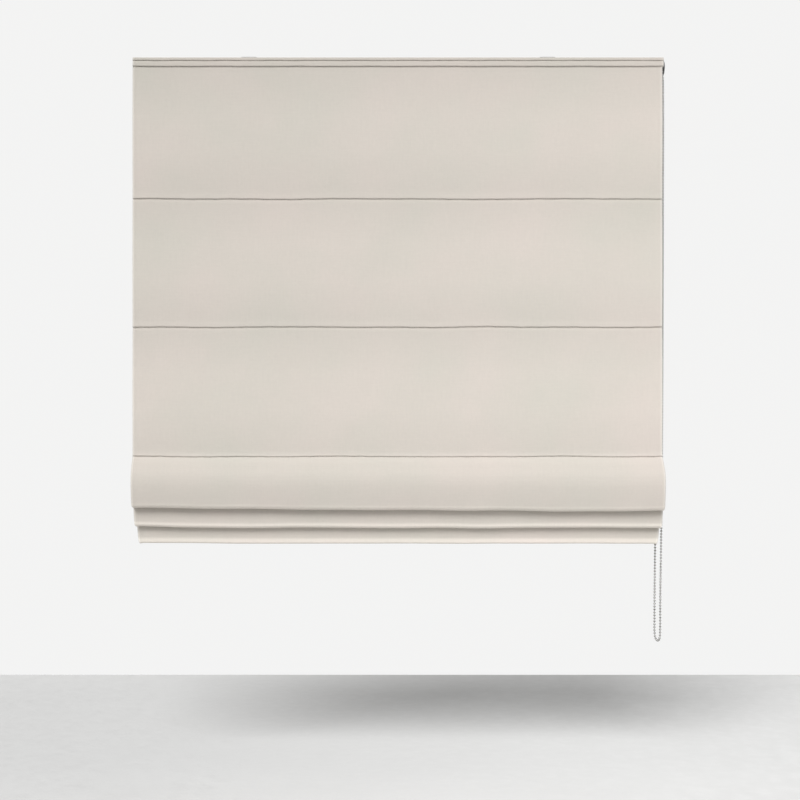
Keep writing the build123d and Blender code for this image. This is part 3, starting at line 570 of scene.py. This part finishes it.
def face_colour_and_painted_light(tree, split, colour, pale):
    """The face cloth's colour with painted light: a painted highlight with some wear where its side edges
    roll, painted shade at its seams, header and first fold, and painted highlights on its fold rims.
    """
    across, down = split.outputs[0], split.outputs[1]
    side = node(tree, "Math", "ABSOLUTE", _0=across)
    # Painted highlight with some wear: the cloth pales towards its rolled side edges.
    start, end = ((EDGE - inside) * MM for inside in EDGE_HIGHLIGHT_AND_WEAR_BAND)
    edge = node(tree, "MapRange", Value=side.outputs[0], _1=start, _2=end, _3=0.0, _4=pale)
    colour = mixed(tree, edge.outputs[0], colour, EDGE_HIGHLIGHT_AND_WEAR_COLOUR)
    # Painted shade: the cloth darkens towards each pleat seam and is a little lighter across the middle of
    # each panel.
    panel = (SEAMS[1] - SEAMS[0]) * MM
    level = node(tree, "Math", "SUBTRACT", _0=down, _1=SEAMS[0] * MM - panel)
    apart = node(tree, "Math", "PINGPONG", _0=level.outputs[0], _1=panel / 2)
    tone = node(tree, "MapRange", Value=apart.outputs[0], _1=0.0, _2=panel * 0.36, _3=0.955, _4=1.02)
    # Distance to the nearest fold rim, for the painted highlight along each fold's bottom rim.
    rims = [node(tree, "Math", "SUBTRACT", _0=down, _1=at * MM) for at in (FOLD_1_AT, FOLD_2_AT, HEM_AT)]
    rims = [node(tree, "Math", "ABSOLUTE", _0=rim.outputs[0]) for rim in rims]
    nearest = node(tree, "Math", "MINIMUM", _0=rims[0].outputs[0], _1=rims[1].outputs[0])
    nearest = node(tree, "Math", "MINIMUM", _0=nearest.outputs[0], _1=rims[2].outputs[0])
    for value, start, end, first, last in (
        # Painted shade over the header and just below it.
        (down, 14.0, 34.0, 0.93, 1.0),
        # Painted shade from the third seam down the front of the first fold, eased lighter again past the
        # first fold's rim.
        (down, SEAMS[2] - 7, SEAMS[2] + 25, 1.0, 0.945),
        (down, SEAMS[2] + 35, FOLD_1_AT - 24, 1.0, 0.89),
        (down, FOLD_1_AT + 10, FOLD_1_AT + 40, 1.0, 1.085),
        # Painted highlight: a quarter lighter within 8 mm of a fold rim.
        (nearest.outputs[0], 8.0, 13.0, 1.25, 1.0),
    ):
        band = node(tree, "MapRange", Value=value, _1=start * MM, _2=end * MM, _3=first, _4=last)
        tone = node(tree, "Math", "MULTIPLY", _0=tone.outputs[0], _1=band.outputs[0])
    return node(tree, "VectorMath", "SCALE", _0=colour, Scale=tone.outputs[0]).outputs[0]


def cloth_finish(name, first, second, threads=900.0, edge_highlight_and_wear=0.0, sheen=0.12):
    """Woven cloth that follows the sheet's own map; given an edge amount, it pales where its side edges roll,
    a painted highlight with some wear, and takes painted shade and highlights at its seams, header and folds.
    """
    if name in bpy.data.materials:
        return bpy.data.materials[name]
    material, tree, shader = begun(
        name, Roughness=0.92, Sheen_Weight=sheen, Sheen_Roughness=0.5, Specular_IOR_Level=0.2
    )
    uv = node(tree, "UVMap")
    uv.uv_map = "Cloth"
    place = uv.outputs[0]
    tints = {"First": (*first, 1), "Second": (*second, 1)}
    mottle = placed(tree, mottle_group(), Vector=place, Scale=4.6, Grain=0.06, **tints)
    weave = placed(tree, weave_group(), Vector=place, Threads=threads * 2 * math.pi)
    slub = node(tree, "MapRange", Value=weave.outputs["Slub"], _1=0.75, _2=1.25, _3=0.988, _4=1.012)
    colour = node(tree, "VectorMath", "SCALE", _0=mottle.outputs["Colour"], Scale=slub.outputs[0]).outputs[0]
    if edge_highlight_and_wear:
        colour = face_colour_and_painted_light(tree, node(tree, "SeparateXYZ", _0=place), colour, edge_highlight_and_wear)
    tree.links.new(colour, shader.inputs["Base Color"])
    bump = node(tree, "Bump", Height=weave.outputs["Height"], Distance=0.0001, Strength=0.35)
    tree.links.new(bump.outputs[0], shader.inputs["Normal"])
    return material


def hard_finish(
    name, colour, metallic=0.0, roughness=0.5, grain=0.06, scale=40.0, stretch=(1, 1, 1), **constants
):
    """Metal or plastic with a grain in its tone, sheen and surface."""
    if name in bpy.data.materials:
        return bpy.data.materials[name]
    material, tree, shader = begun(name, Metallic=metallic, **constants)
    place = node(tree, "TexCoord").outputs["Object"]
    worn = tuple(min(1, c * 0.86 + 0.02) for c in colour)
    tints = {"First": (*colour, 1), "Second": (*worn, 1)}
    mottle = placed(tree, mottle_group(), Vector=place, Scale=scale * 0.3, Grain=grain, **tints)
    tree.links.new(mottle.outputs["Colour"], shader.inputs["Base Color"])
    stretched = node(tree, "Mapping", _0=place, Scale=stretch)
    fine = node(tree, "TexNoise", Vector=stretched.outputs[0], Scale=scale * 22, Detail=3.0)
    smoothest, roughest = roughness * 0.8, min(1, roughness * 1.25)
    rough = node(tree, "MapRange", Value=fine.outputs["Fac"], _1=0.3, _2=0.7, _3=smoothest, _4=roughest)
    tree.links.new(rough.outputs[0], shader.inputs["Roughness"])
    bump = node(tree, "Bump", Height=fine.outputs["Fac"], Distance=0.00002, Strength=0.5)
    tree.links.new(bump.outputs[0], shader.inputs["Normal"])
    return material


def tape_finish(name, colour, threads):
    """A woven tape whose threads run level and upright wherever it is."""
    if name in bpy.data.materials:
        return bpy.data.materials[name]
    material, tree, shader = begun(name, Roughness=0.9, Sheen_Weight=0.15)
    place = node(tree, "TexCoord").outputs["Object"]
    upright = node(tree, "Mapping", _0=place, Rotation=(-math.pi / 2, 0.0, 0.0))
    dim = tuple(c * 0.93 for c in colour)
    tints = {"First": (*colour, 1), "Second": (*dim, 1)}
    mottle = placed(tree, mottle_group(), Vector=place, Scale=16.0, Grain=0.12, **tints)
    weave = placed(tree, weave_group(), Vector=upright.outputs[0], Threads=threads * 2 * math.pi)
    tree.links.new(mottle.outputs["Colour"], shader.inputs["Base Color"])
    bump = node(tree, "Bump", Height=weave.outputs["Height"], Distance=0.0001, Strength=0.5)
    tree.links.new(bump.outputs[0], shader.inputs["Normal"])
    return material


def braid_finish():
    """A round braided cord, its yarns crossing along two slanting ways."""
    if "braided cord" in bpy.data.materials:
        return bpy.data.materials["braided cord"]
    material, tree, shader = begun("braided cord", Roughness=0.8, Sheen_Weight=0.1)
    place = node(tree, "TexCoord").outputs["Object"]
    bands = []
    for slant in (0.7, -0.7):
        turned = node(tree, "Mapping", _0=place, Rotation=(0.0, slant, 0.4))
        wave = node(tree, "TexWave", Vector=turned.outputs[0], Scale=420.0, Distortion=0.4)
        bands.append(wave.outputs["Fac"])
    height = node(tree, "Math", "MAXIMUM", _0=bands[0], _1=bands[1])
    # Painted shade: the cord's colour darkens into the grooves between its yarns.
    colour = mixed(tree, height.outputs[0], (0.50, 0.47, 0.42, 1), (0.84, 0.82, 0.78, 1))
    tree.links.new(colour, shader.inputs["Base Color"])
    bump = node(tree, "Bump", Height=height.outputs[0], Distance=0.0001, Strength=0.6)
    tree.links.new(bump.outputs[0], shader.inputs["Normal"])
    return material


def face_cloth():
    cloth = bpy.context.scene.blind_cloth
    # The face cloth gets the painted highlight and wear at its side edges, and painted shade and highlights
    # down its face.
    return cloth_finish("face cloth", cloth.colour, cloth.cool, edge_highlight_and_wear=0.55)


def lining_cloth():
    cloth = bpy.context.scene.blind_cloth
    cooler = tuple(c * 0.97 for c in cloth.lining)
    return cloth_finish("lining cloth", cloth.lining, cooler, threads=1300.0, sheen=0.2)


# ------------------------------------------------------------------ the pieces
PARTS = (  # name, first and last row down the cloth, how it moves
    ("header", 0.0, HEADER_ROWS[1], "head"),
    ("panels", HEADER_ROWS[1], SPLIT, "lift"),
    ("pleats", SPLIT, None, "stack"),
)
SIDE_HEM, LOW_SIDE_HEM = 30.0, 7.0  # the turned side hem's width, and across the bottom hem
LOW_HEM_AT = FOLD_2_AT + 130
HEM_SHARES = (1.0, 0.6, 0.3)  # of the side hem's width, where it has columns
HEM_ROLL = (  # round the side edge from back to front: in from the edge, and behind the face
    (3.6, LINING_STEP), (1.3, 0.75), (0.4, 0.42), (0.0, -0.05), (0.35, -0.55),
    (1.1, -0.9), (2.2, -0.95), (3.6, -0.7), (5.6, -0.3), (8.5, -0.05),
)
FLAT_INSET = 12.0  # from the side edge to the flat columns
COLUMNS = 161
LINING_THICKNESS, LINING_TOP = 0.4, 1.5
LINING_END = HEM_AT - 40
STITCH_GAP = 1.6
STITCH_HALVES = (0.3, 0.4)  # a stitch's half depth and half height
POCKET_RADIUS = 0.003  # this and the next in metres
TAPE_BORDER = 0.0015  # how wide a tape's woven border is


def moved_with(obj, how):
    """Hangs a sheet from the head with a mesh of its own, for the lift, or lets it ride on the body named."""
    if how == "lift":
        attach(obj, "head")
        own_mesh(obj)
    else:
        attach(obj, how)


class BLIND_OT_face_cloth(bpy.types.Operator):
    """Hangs the face cloth: its header, its flat panels and its gathered pleats, with side hems"""

    bl_idname = "blind.face_cloth"
    bl_label = "Hang Face Cloth"

    def execute(self, context):
        cloth = context.scene.blind_cloth
        for name, start, end, how in PARTS:
            end = CUT_LENGTH if end is None else end
            rows = rows_between(start, end)
            hem = np.where(rows > LOW_HEM_AT, LOW_SIDE_HEM, SIDE_HEM)[:, None]
            flat = EDGE - FLAT_INSET
            across = np.linspace(-flat, flat, COLUMNS)[None, :] + 0 * hem
            rolled = np.array([inside for inside, _ in HEM_ROLL])[None, :] + 0 * hem
            side = np.concatenate([hem * np.array(HEM_SHARES), rolled], axis=1)
            columns = np.concatenate([side - EDGE, across, EDGE - side[:, ::-1]], axis=1)
            back = [LINING_STEP] * len(HEM_SHARES) + [behind for _, behind in HEM_ROLL]
            depths = np.array([*back, *[0.0] * COLUMNS, *back[::-1]])[None, :]
            obj = hung(f"face_cloth_{name}", columns, depths, rows, cloth.thickness)
            finished(obj, face_cloth())
            moved_with(obj, how)
            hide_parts("face_fabric")
        return {"FINISHED"}


class BLIND_OT_lining(bpy.types.Operator):
    """Hangs the lining behind the face cloth, between its side hems"""

    bl_idname = "blind.lining"
    bl_label = "Hang Lining"

    def execute(self, context):
        half = EDGE - SIDE_HEM - 0.3
        for name, start, end, how in PARTS:
            start = max(start, LINING_TOP)
            end = LINING_END if end is None else end
            rows = rows_between(start, end, 14.0)
            columns = np.linspace(-half, half, COLUMNS)[None, :] + 0 * rows[:, None]
            depths = LINING_STEP + 0 * columns
            obj = hung(f"lining_{name}", columns, depths, rows, LINING_THICKNESS * MM)
            finished(obj, lining_cloth())
            moved_with(obj, how)
            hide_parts("lining")
        return {"FINISHED"}


class BLIND_OT_stitching(bpy.types.Operator):
    """Sews the two header rows and the three pleat seams, one stitch after another"""

    bl_idname = "blind.stitching"
    bl_label = "Sew Stitches"

    def execute(self, context):
        thread = hard_finish("thread", (0.27, 0.24, 0.205), roughness=0.8, grain=0.3, scale=90.0)
        rows = (  # name, how far down the cloth, which pleat seam it is, how it moves
            ("header_upper", HEADER_ROWS[0], None, "head"),
            ("header_lower", HEADER_ROWS[1], None, "head"),
            ("pleat_1", SEAMS[0], 0, "lift"),
            ("pleat_2", SEAMS[1], 1, "lift"),
            ("pleat_3", SEAMS[2], 2, "stack"),
        )
        cloth = context.scene.blind_cloth
        length, front = cloth.stitch / MM, cloth.thickness / MM / 2
        step = length + STITCH_GAP
        count = int(2 * (EDGE - 6) / step)
        for number, (name, down, seam, how) in enumerate(rows):
            deselect()
            bpy.ops.mesh.primitive_ico_sphere_add(subdivisions=1, radius=1.0)
            obj = added(f"stitches_{name}")
            put(obj, points_of(obj) * (length / 2, *STITCH_HALVES))
            modified(
                obj, "ARRAY", count=count, use_relative_offset=False,
                use_constant_offset=True, constant_offset_displace=(step, 0, 0),
            )
            places = points_of(obj)
            which = np.round(places[:, 0] / step).astype(int)
            middle_x = which * step - (count - 1) * step / 2
            chance = np.random.default_rng(300 + number)
            lift, slant = chance.normal(0, 0.16, count), chance.normal(0, 0.05, count)
            along = places[:, 0] - which * step
            x = middle_x + along
            stray = 0.18 * ripple(middle_x, 60, 60, 3) if seam is None else seam_line(middle_x, seam)
            s = down + stray
            y, z = route_at(s)[:2]
            proud = 0.35 if seam is None else 0.1
            y = y - rise(middle_x, s) - front - proud + places[:, 1]
            z = z + places[:, 2] + lift[which] + slant[which] * along
            put(obj, np.stack([x, y, z], axis=-1) * MM)
            smooth(obj, 180)
            finished(obj, thread)
            moved_with(obj, how)
        return {"FINISHED"}


class BLIND_OT_rod_pockets(bpy.types.Operator):
    """Makes the five pocket tapes that hold the rods, each sewn on by its flat band"""

    bl_idname = "blind.rod_pockets"
    bl_label = "Make Rod Pockets"

    def execute(self, context):
        bodies = ("rod_1_body", "rod_2_body", "stack", "stack", "stack")
        for number, body in enumerate(bodies, start=1):
            name = f"rod_{number}_pocket"
            low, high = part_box(name)
            rod = middle(f"rod_{number}")
            length = high.x - low.x
            radius = POCKET_RADIUS - 0.0002
            deselect()
            bpy.ops.mesh.primitive_cylinder_add(
                vertices=20, radius=radius, depth=length, end_fill_type="NOTHING",
                location=rod, rotation=(0, math.pi / 2, 0),
            )
            tube = added(f"pocket_{number}")
            bpy.ops.object.transform_apply(location=True, rotation=True, scale=True)
            bpy.ops.object.mode_set(mode="EDIT")
            bpy.ops.mesh.select_mode(type="EDGE")
            bpy.ops.mesh.select_all(action="DESELECT")
            bpy.ops.object.mode_set(mode="OBJECT")
            for edge in tube.data.edges:
                a, b = (tube.data.vertices[v].co for v in edge.vertices)
                edge.select = abs(a.x - b.x) > 0.1
            bpy.ops.object.mode_set(mode="EDIT")
            bpy.ops.mesh.subdivide(number_cuts=192)
            bpy.ops.object.mode_set(mode="OBJECT")
            places = points_of(tube)
            x = places[:, 0] / MM
            angle = np.arctan2(places[:, 2] - rod.z, places[:, 1] - rod.y)
            creases = 0.00012 * ripple(x, 200 + number, 34, 4) * np.sin(angle)
            size = radius + creases - 0.0001 * (1 - np.cos(angle * 3))
            places[:, 1] = rod.y + size * np.cos(angle)
            places[:, 2] = rod.z + size * np.sin(angle)
            put(tube, places)
            face = tube.data.polygons[0]
            inwards = -1.0 if face.normal.dot(face.center - rod) > 0 else 1.0
            modified(tube, "SOLIDIFY", thickness=0.00045, offset=inwards)
            flat = 2 * math.pi * POCKET_RADIUS
            if high.z - rod.z > POCKET_RADIUS * 1.2:
                deselect()
                bpy.ops.mesh.primitive_grid_add(x_subdivisions=200, y_subdivisions=8, size=1)
                band = added("band")
                grid = points_of(band)
                bx = grid[:, 0] * length
                bz = rod.z + (grid[:, 1] + 0.5) * (high.z - rod.z)
                free = np.clip((bz - rod.z) / (high.z - rod.z) - 0.35, 0, 1)
                by = low.y + 0.0004 + 0.00035 * free * (1 + ripple(bx / MM, 230 + number, 40, 4))
                put(band, np.stack([bx, by, bz], axis=-1))
                modified(band, "SOLIDIFY", thickness=0.0004, offset=0.0)
                tube = joined(tube, band)
                flat += high.z - rod.z
            tube.name = f"pocket_{number}"
            smooth(tube, 50)
            tape = tape_finish("pocket tape", (0.80, 0.785, 0.75), 1500.0)
            finished(tube, tape, body)
            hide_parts(name)
        return {"FINISHED"}


class BLIND_OT_fastening_tapes(bpy.types.Operator):
    """Makes the hook tape on the rail and the loop tape on the header, with plain woven borders"""

    bl_idname = "blind.fastening_tapes"
    bl_label = "Make Fastening Tapes"

    def execute(self, context):
        for name, facing, nap in (("hook_tape", -1, 0.16), ("loop_tape", 1, 0.28)):
            low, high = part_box(name)
            deselect()
            bpy.ops.mesh.primitive_cube_add(size=1, location=(low + high) / 2, scale=high - low)
            obj = added(f"{name}_strip")
            bpy.ops.object.transform_apply(location=True, rotation=True, scale=True)
            modified(obj, "BEVEL", width=0.0003, segments=2)
            cuts = [((0, 0, z), (0, 0, 1)) for z in (low.z + TAPE_BORDER, high.z - TAPE_BORDER)]
            cuts += [((low.x + (high.x - low.x) * k / 150, 0, 0), (1, 0, 0)) for k in range(1, 150)]
            for place, way in cuts:
                bpy.ops.object.mode_set(mode="EDIT")
                bpy.ops.mesh.select_all(action="SELECT")
                bpy.ops.mesh.bisect(plane_co=place, plane_no=way)
                bpy.ops.object.mode_set(mode="OBJECT")
            places = points_of(obj)
            edge_y = low.y if facing < 0 else high.y
            on_face = abs(places[:, 1] - edge_y) < 0.00005
            field = on_face & (abs(places[:, 2] - (low.z + high.z) / 2) > 0.0052)
            places[field, 1] -= facing * nap * MM * (1 + 0.5 * ripple(places[field, 0] / MM, 300, 9, 3))
            put(obj, places)
            smooth(obj, 40)
            tape = tape_finish("fastening tape", (0.78, 0.77, 0.74), 700.0)
            finished(obj, tape, "head")
            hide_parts(name)
        return {"FINISHED"}


def spline(name, points, radius=0.0, resolution=10):
    """A smooth open line through free space, steered by these points."""
    data = bpy.data.curves.new(name, "CURVE")
    data.dimensions = "3D"
    data.resolution_u = resolution
    data.bevel_depth = radius
    data.bevel_resolution = 1
    data.use_fill_caps = radius > 0
    run = data.splines.new("NURBS")
    run.points.add(len(points) - 1)
    for point, place in zip(run.points, points):
        point.co = (*place, 1)
    run.order_u = 3
    run.use_endpoint_u = True
    obj = bpy.data.objects.new(name, data)
    bpy.context.scene.collection.objects.link(obj)
    return obj


def read_line(name, points, resolution=10):
    """The points that a spline passes through, in order."""
    line = spline(name, points, resolution=resolution)
    mesh = bpy.data.meshes.new_from_object(line)
    places = np.array([v.co for v in mesh.vertices])
    bpy.data.meshes.remove(mesh)
    bpy.data.objects.remove(line)
    return places


def tube_along(name, points, radius, resolution=10):
    """A round tube along a spline, as a mesh."""
    line = spline(name, points, radius, resolution)
    only(line)
    bpy.ops.object.convert(target="MESH")
    return bpy.context.object


class BLIND_OT_lift_cords(bpy.types.Operator):
    """Runs the three braided lift cords from their spools down through the rings"""

    bl_idname = "blind.lift_cords"
    bl_label = "Run Lift Cords"

    def execute(self, context):
        for side in ("left", "middle", "right"):
            low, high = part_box(f"lift_cord_{side}")
            centre = (low + high) / 2
            fall = low.z - high.z
            route = [(centre.x, centre.y, high.z + fall * share) for share in (0.0, 0.3, 0.7, 1.0)]
            path = read_line("cord line", route, 60)
            obj = tube_along(f"lift_cord_{side}_braid", route, (high.x - low.x) / 2, 60)
            obj.name = f"braid_{side}"
            smooth(obj, 60)
            finished(obj, braid_finish(), "head")
            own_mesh(obj)
            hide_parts(f"lift_cord_{side}")
        return {"FINISHED"}


class BLIND_OT_bead_chain(bpy.types.Operator):
    """Strings the operating chain's beads on their wire, over the wheel and down both sides"""

    bl_idname = "blind.bead_chain"
    bl_label = "String Bead Chain"

    def execute(self, context):
        chain = context.scene.blind_chain
        path = read_line("chain line", CHAIN_ROUTE, 24)
        runs = np.linalg.norm(np.diff(path, axis=0), axis=1)
        along = np.concatenate([[0], np.cumsum(runs)])
        count = round(along[-1] / chain.pitch)
        spots = (np.arange(count) + 0.5) * along[-1] / count
        centres = np.stack([np.interp(spots, along, path[:, k]) for k in range(3)], axis=-1)
        deselect()
        bpy.ops.mesh.primitive_uv_sphere_add(segments=10, ring_count=6, radius=chain.bead / 2)
        bead = added("bead")
        shape = points_of(bead)
        faces = [tuple(p.vertices) for p in bead.data.polygons]
        mesh = bpy.data.meshes.new("chain_beads")
        places = (centres[:, None, :] + shape[None, :, :]).reshape(-1, 3)
        every = [tuple(v + k * len(shape) for v in face) for k in range(count) for face in faces]
        mesh.from_pydata(places.tolist(), [], every)
        bpy.data.objects.remove(bead)
        obj = bpy.data.objects.new("chain_beads", mesh)
        context.scene.collection.objects.link(obj)
        wire = tube_along("chain wire", CHAIN_ROUTE, chain.wire / 2, 12)
        obj = joined(obj, wire)
        smooth(obj, 60)
        nickel = hard_finish(
            "chain metal", (0.45, 0.445, 0.435), metallic=1.0, roughness=0.2, grain=0.08, scale=60.0
        )
        finished(obj, nickel, "head")
        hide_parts("bead_chain")
        return {"FINISHED"}


class BLIND_OT_hardware(bpy.types.Operator):
    """Gives the rail, brackets, drive, rods and bars their metal, plastic and glass-fibre finishes"""

    bl_idname = "blind.hardware"
    bl_label = "Finish Hardware"

    def execute(self, context):
        finishes = {
            "headrail": hard_finish(
                "rail aluminium", (0.80, 0.80, 0.79), metallic=0.25, roughness=0.38, stretch=(0.03, 1, 1)
            ),
            "head_bracket": hard_finish(
                "bracket steel", (0.58, 0.585, 0.59), metallic=0.9, roughness=0.34, grain=0.18
            ),
            "drive_shaft": hard_finish(
                "shaft steel", (0.50, 0.50, 0.51), metallic=1.0, roughness=0.28, stretch=(0.04, 1, 1)
            ),
            "housing": hard_finish("grey plastic", (0.12, 0.12, 0.122), roughness=0.5),
            "white": hard_finish("white plastic", (0.80, 0.80, 0.78), roughness=0.42),
            "clear": hard_finish(
                "clear plastic", (0.88, 0.89, 0.90), roughness=0.2, Transmission_Weight=0.75, IOR=1.49
            ),
            "cap": hard_finish("soft cap", (0.72, 0.70, 0.66), roughness=0.7),
            "fibre": hard_finish(
                "glass fibre", (0.78, 0.77, 0.70), roughness=0.45, grain=0.2, stretch=(0.02, 1, 1)
            ),
        }
        wearing = {
            "headrail": ["headrail"],
            "head_bracket": ["head_bracket_left", "head_bracket_right", "lever_rivets"],
            "drive_shaft": ["drive_shaft", "clutch_spindle", "wrap_spring"],
            "housing": ["control_housing", "chain_guard", "chain_wheel", "idle_end_cap"],
            "white": ["release_lever_left", "release_lever_right", "bottom_bar", "cord_connectors"],
            "clear": ["chain_connector"],
            "cap": ["bottom_bar_caps", *(f"rod_{k}_caps" for k in range(1, 6))],
            "fibre": [f"rod_{k}" for k in range(1, 6)],
        }
        for side in ("left", "middle", "right"):
            wearing["white"] += [f"cord_spool_{side}", f"cord_cassette_{side}"]
        wearing["clear"] += [f"rod_{k}_rings" for k in range(1, 6)]
        for finish, names in wearing.items():
            for name in names:
                nodes[name].data.materials.clear()
                nodes[name].data.materials.append(finishes[finish])
        return {"FINISHED"}


def lamp(name, kind, place, aim, power, **values):
    """Hangs a light at a place, turned towards another."""
    light = bpy.data.lights.new(name, kind)
    light.energy = power
    for key, value in values.items():
        setattr(light, key, value)
    obj = bpy.data.objects.new(name, light)
    obj.location = place
    obj.rotation_euler = (Vector(place) - Vector(aim)).to_track_quat("Z", "Y").to_euler()
    bpy.context.scene.collection.objects.link(obj)
    return obj


class BLIND_OT_stage(bpy.types.Operator):
    """Sets the pale floor, the backdrop, the soft lights and the camera"""

    bl_idname = "blind.stage"
    bl_label = "Set Stage"

    def execute(self, context):
        stage = context.scene.blind_stage
        scene = context.scene
        deselect()
        bpy.ops.mesh.primitive_plane_add(size=1, location=(0, -0.4, stage.floor))
        floor = added("floor")
        floor.scale = (5.0, 2.6, 1)
        bpy.ops.object.transform_apply(location=True, rotation=True, scale=True)
        finish = hard_finish("floor", (0.64, 0.64, 0.635), roughness=0.7, grain=0.02, scale=2.0)
        floor.data.materials.append(finish)
        world = bpy.data.worlds.new("backdrop")
        world.use_nodes = True
        tree = world.node_tree
        background = tree.nodes["Background"]
        background.inputs["Color"].default_value = (1.0, 1.0, 0.995, 1)
        seen = node(tree, "LightPath").outputs["Is Camera Ray"]
        shine = node(tree, "MapRange", Value=seen, _3=stage.ambient, _4=stage.sky)
        tree.links.new(shine.outputs[0], background.inputs["Strength"])
        scene.world = world
        scene.view_settings.view_transform = "Standard"
        scene.view_settings.look = "None"
        for name, place, power in (
            ("key", (-0.35, -1.0, 1.15), stage.key),
            ("back", (0.5, 1.0, 0.7), stage.key * 0.35),
        ):
            lamp(name, "SUN", place, (0, 0, 0), power, angle=math.radians(34))
        low = stage.floor + 0.02
        for name, place, aim, wide, deep, power in (
            ("fill", (1.25, -1.7, -0.15), (0.15, 0, -0.5), 1.2, 1.2, stage.fill),
            ("sill", (0, -0.22, low), (0, -0.05, -0.9), 1.5, 0.3, stage.sill),
        ):
            area = lamp(name, "AREA", place, aim, power, shape="RECTANGLE", size=wide, size_y=deep)
            area.visible_camera = False
        camera = bpy.data.objects.new("camera", bpy.data.cameras.new("camera"))
        camera.location = (0.0036, -2.8185, -0.689)
        camera.rotation_euler = (math.radians(90), 0, 0)
        camera.data.lens = 62.9
        camera.data.sensor_width = 36
        camera.data.clip_start, camera.data.clip_end = 0.05, 60
        scene.collection.objects.link(camera)
        scene.camera = camera
        return {"FINISHED"}


OPERATORS = (
    BLIND_OT_bead_chain,
    BLIND_OT_face_cloth,
    BLIND_OT_lining,
    BLIND_OT_stitching,
    BLIND_OT_rod_pockets,
    BLIND_OT_fastening_tapes,
    BLIND_OT_lift_cords,
    BLIND_OT_hardware,
    BLIND_OT_stage,
)


class BLIND_PT_panel(bpy.types.Panel):
    """Lists the blind's sizes and the steps that build it"""

    bl_idname = "BLIND_PT_panel"
    bl_label = "Roman Blind"
    bl_space_type = "VIEW_3D"
    bl_region_type = "UI"
    bl_category = "Blind"

    def draw(self, context):
        for settings in (context.scene.blind_cloth, context.scene.blind_chain, context.scene.blind_stage):
            box = self.layout.box()
            for key in settings.bl_rna.properties.keys():
                if key not in ("rna_type", "name"):
                    box.prop(settings, key)
        for operator in OPERATORS:
            self.layout.operator(operator.bl_idname)


CLASSES = (BlindCloth, BlindChain, BlindStage, *OPERATORS, BLIND_PT_panel)


def register():
    for kind in CLASSES:
        bpy.utils.register_class(kind)
    bpy.types.Scene.blind_cloth = bpy.props.PointerProperty(type=BlindCloth)
    bpy.types.Scene.blind_chain = bpy.props.PointerProperty(type=BlindChain)
    bpy.types.Scene.blind_stage = bpy.props.PointerProperty(type=BlindStage)


def unregister():
    for name in ("blind_cloth", "blind_chain", "blind_stage"):
        delattr(bpy.types.Scene, name)
    for kind in reversed(CLASSES):
        bpy.utils.unregister_class(kind)


def main():
    """Builds the blind step by step."""
    register()
    for operator in OPERATORS:
        step = operator.bl_idname.split(".")[1]
        getattr(bpy.ops.blind, step)()


if __name__ == "__main__":
    main()
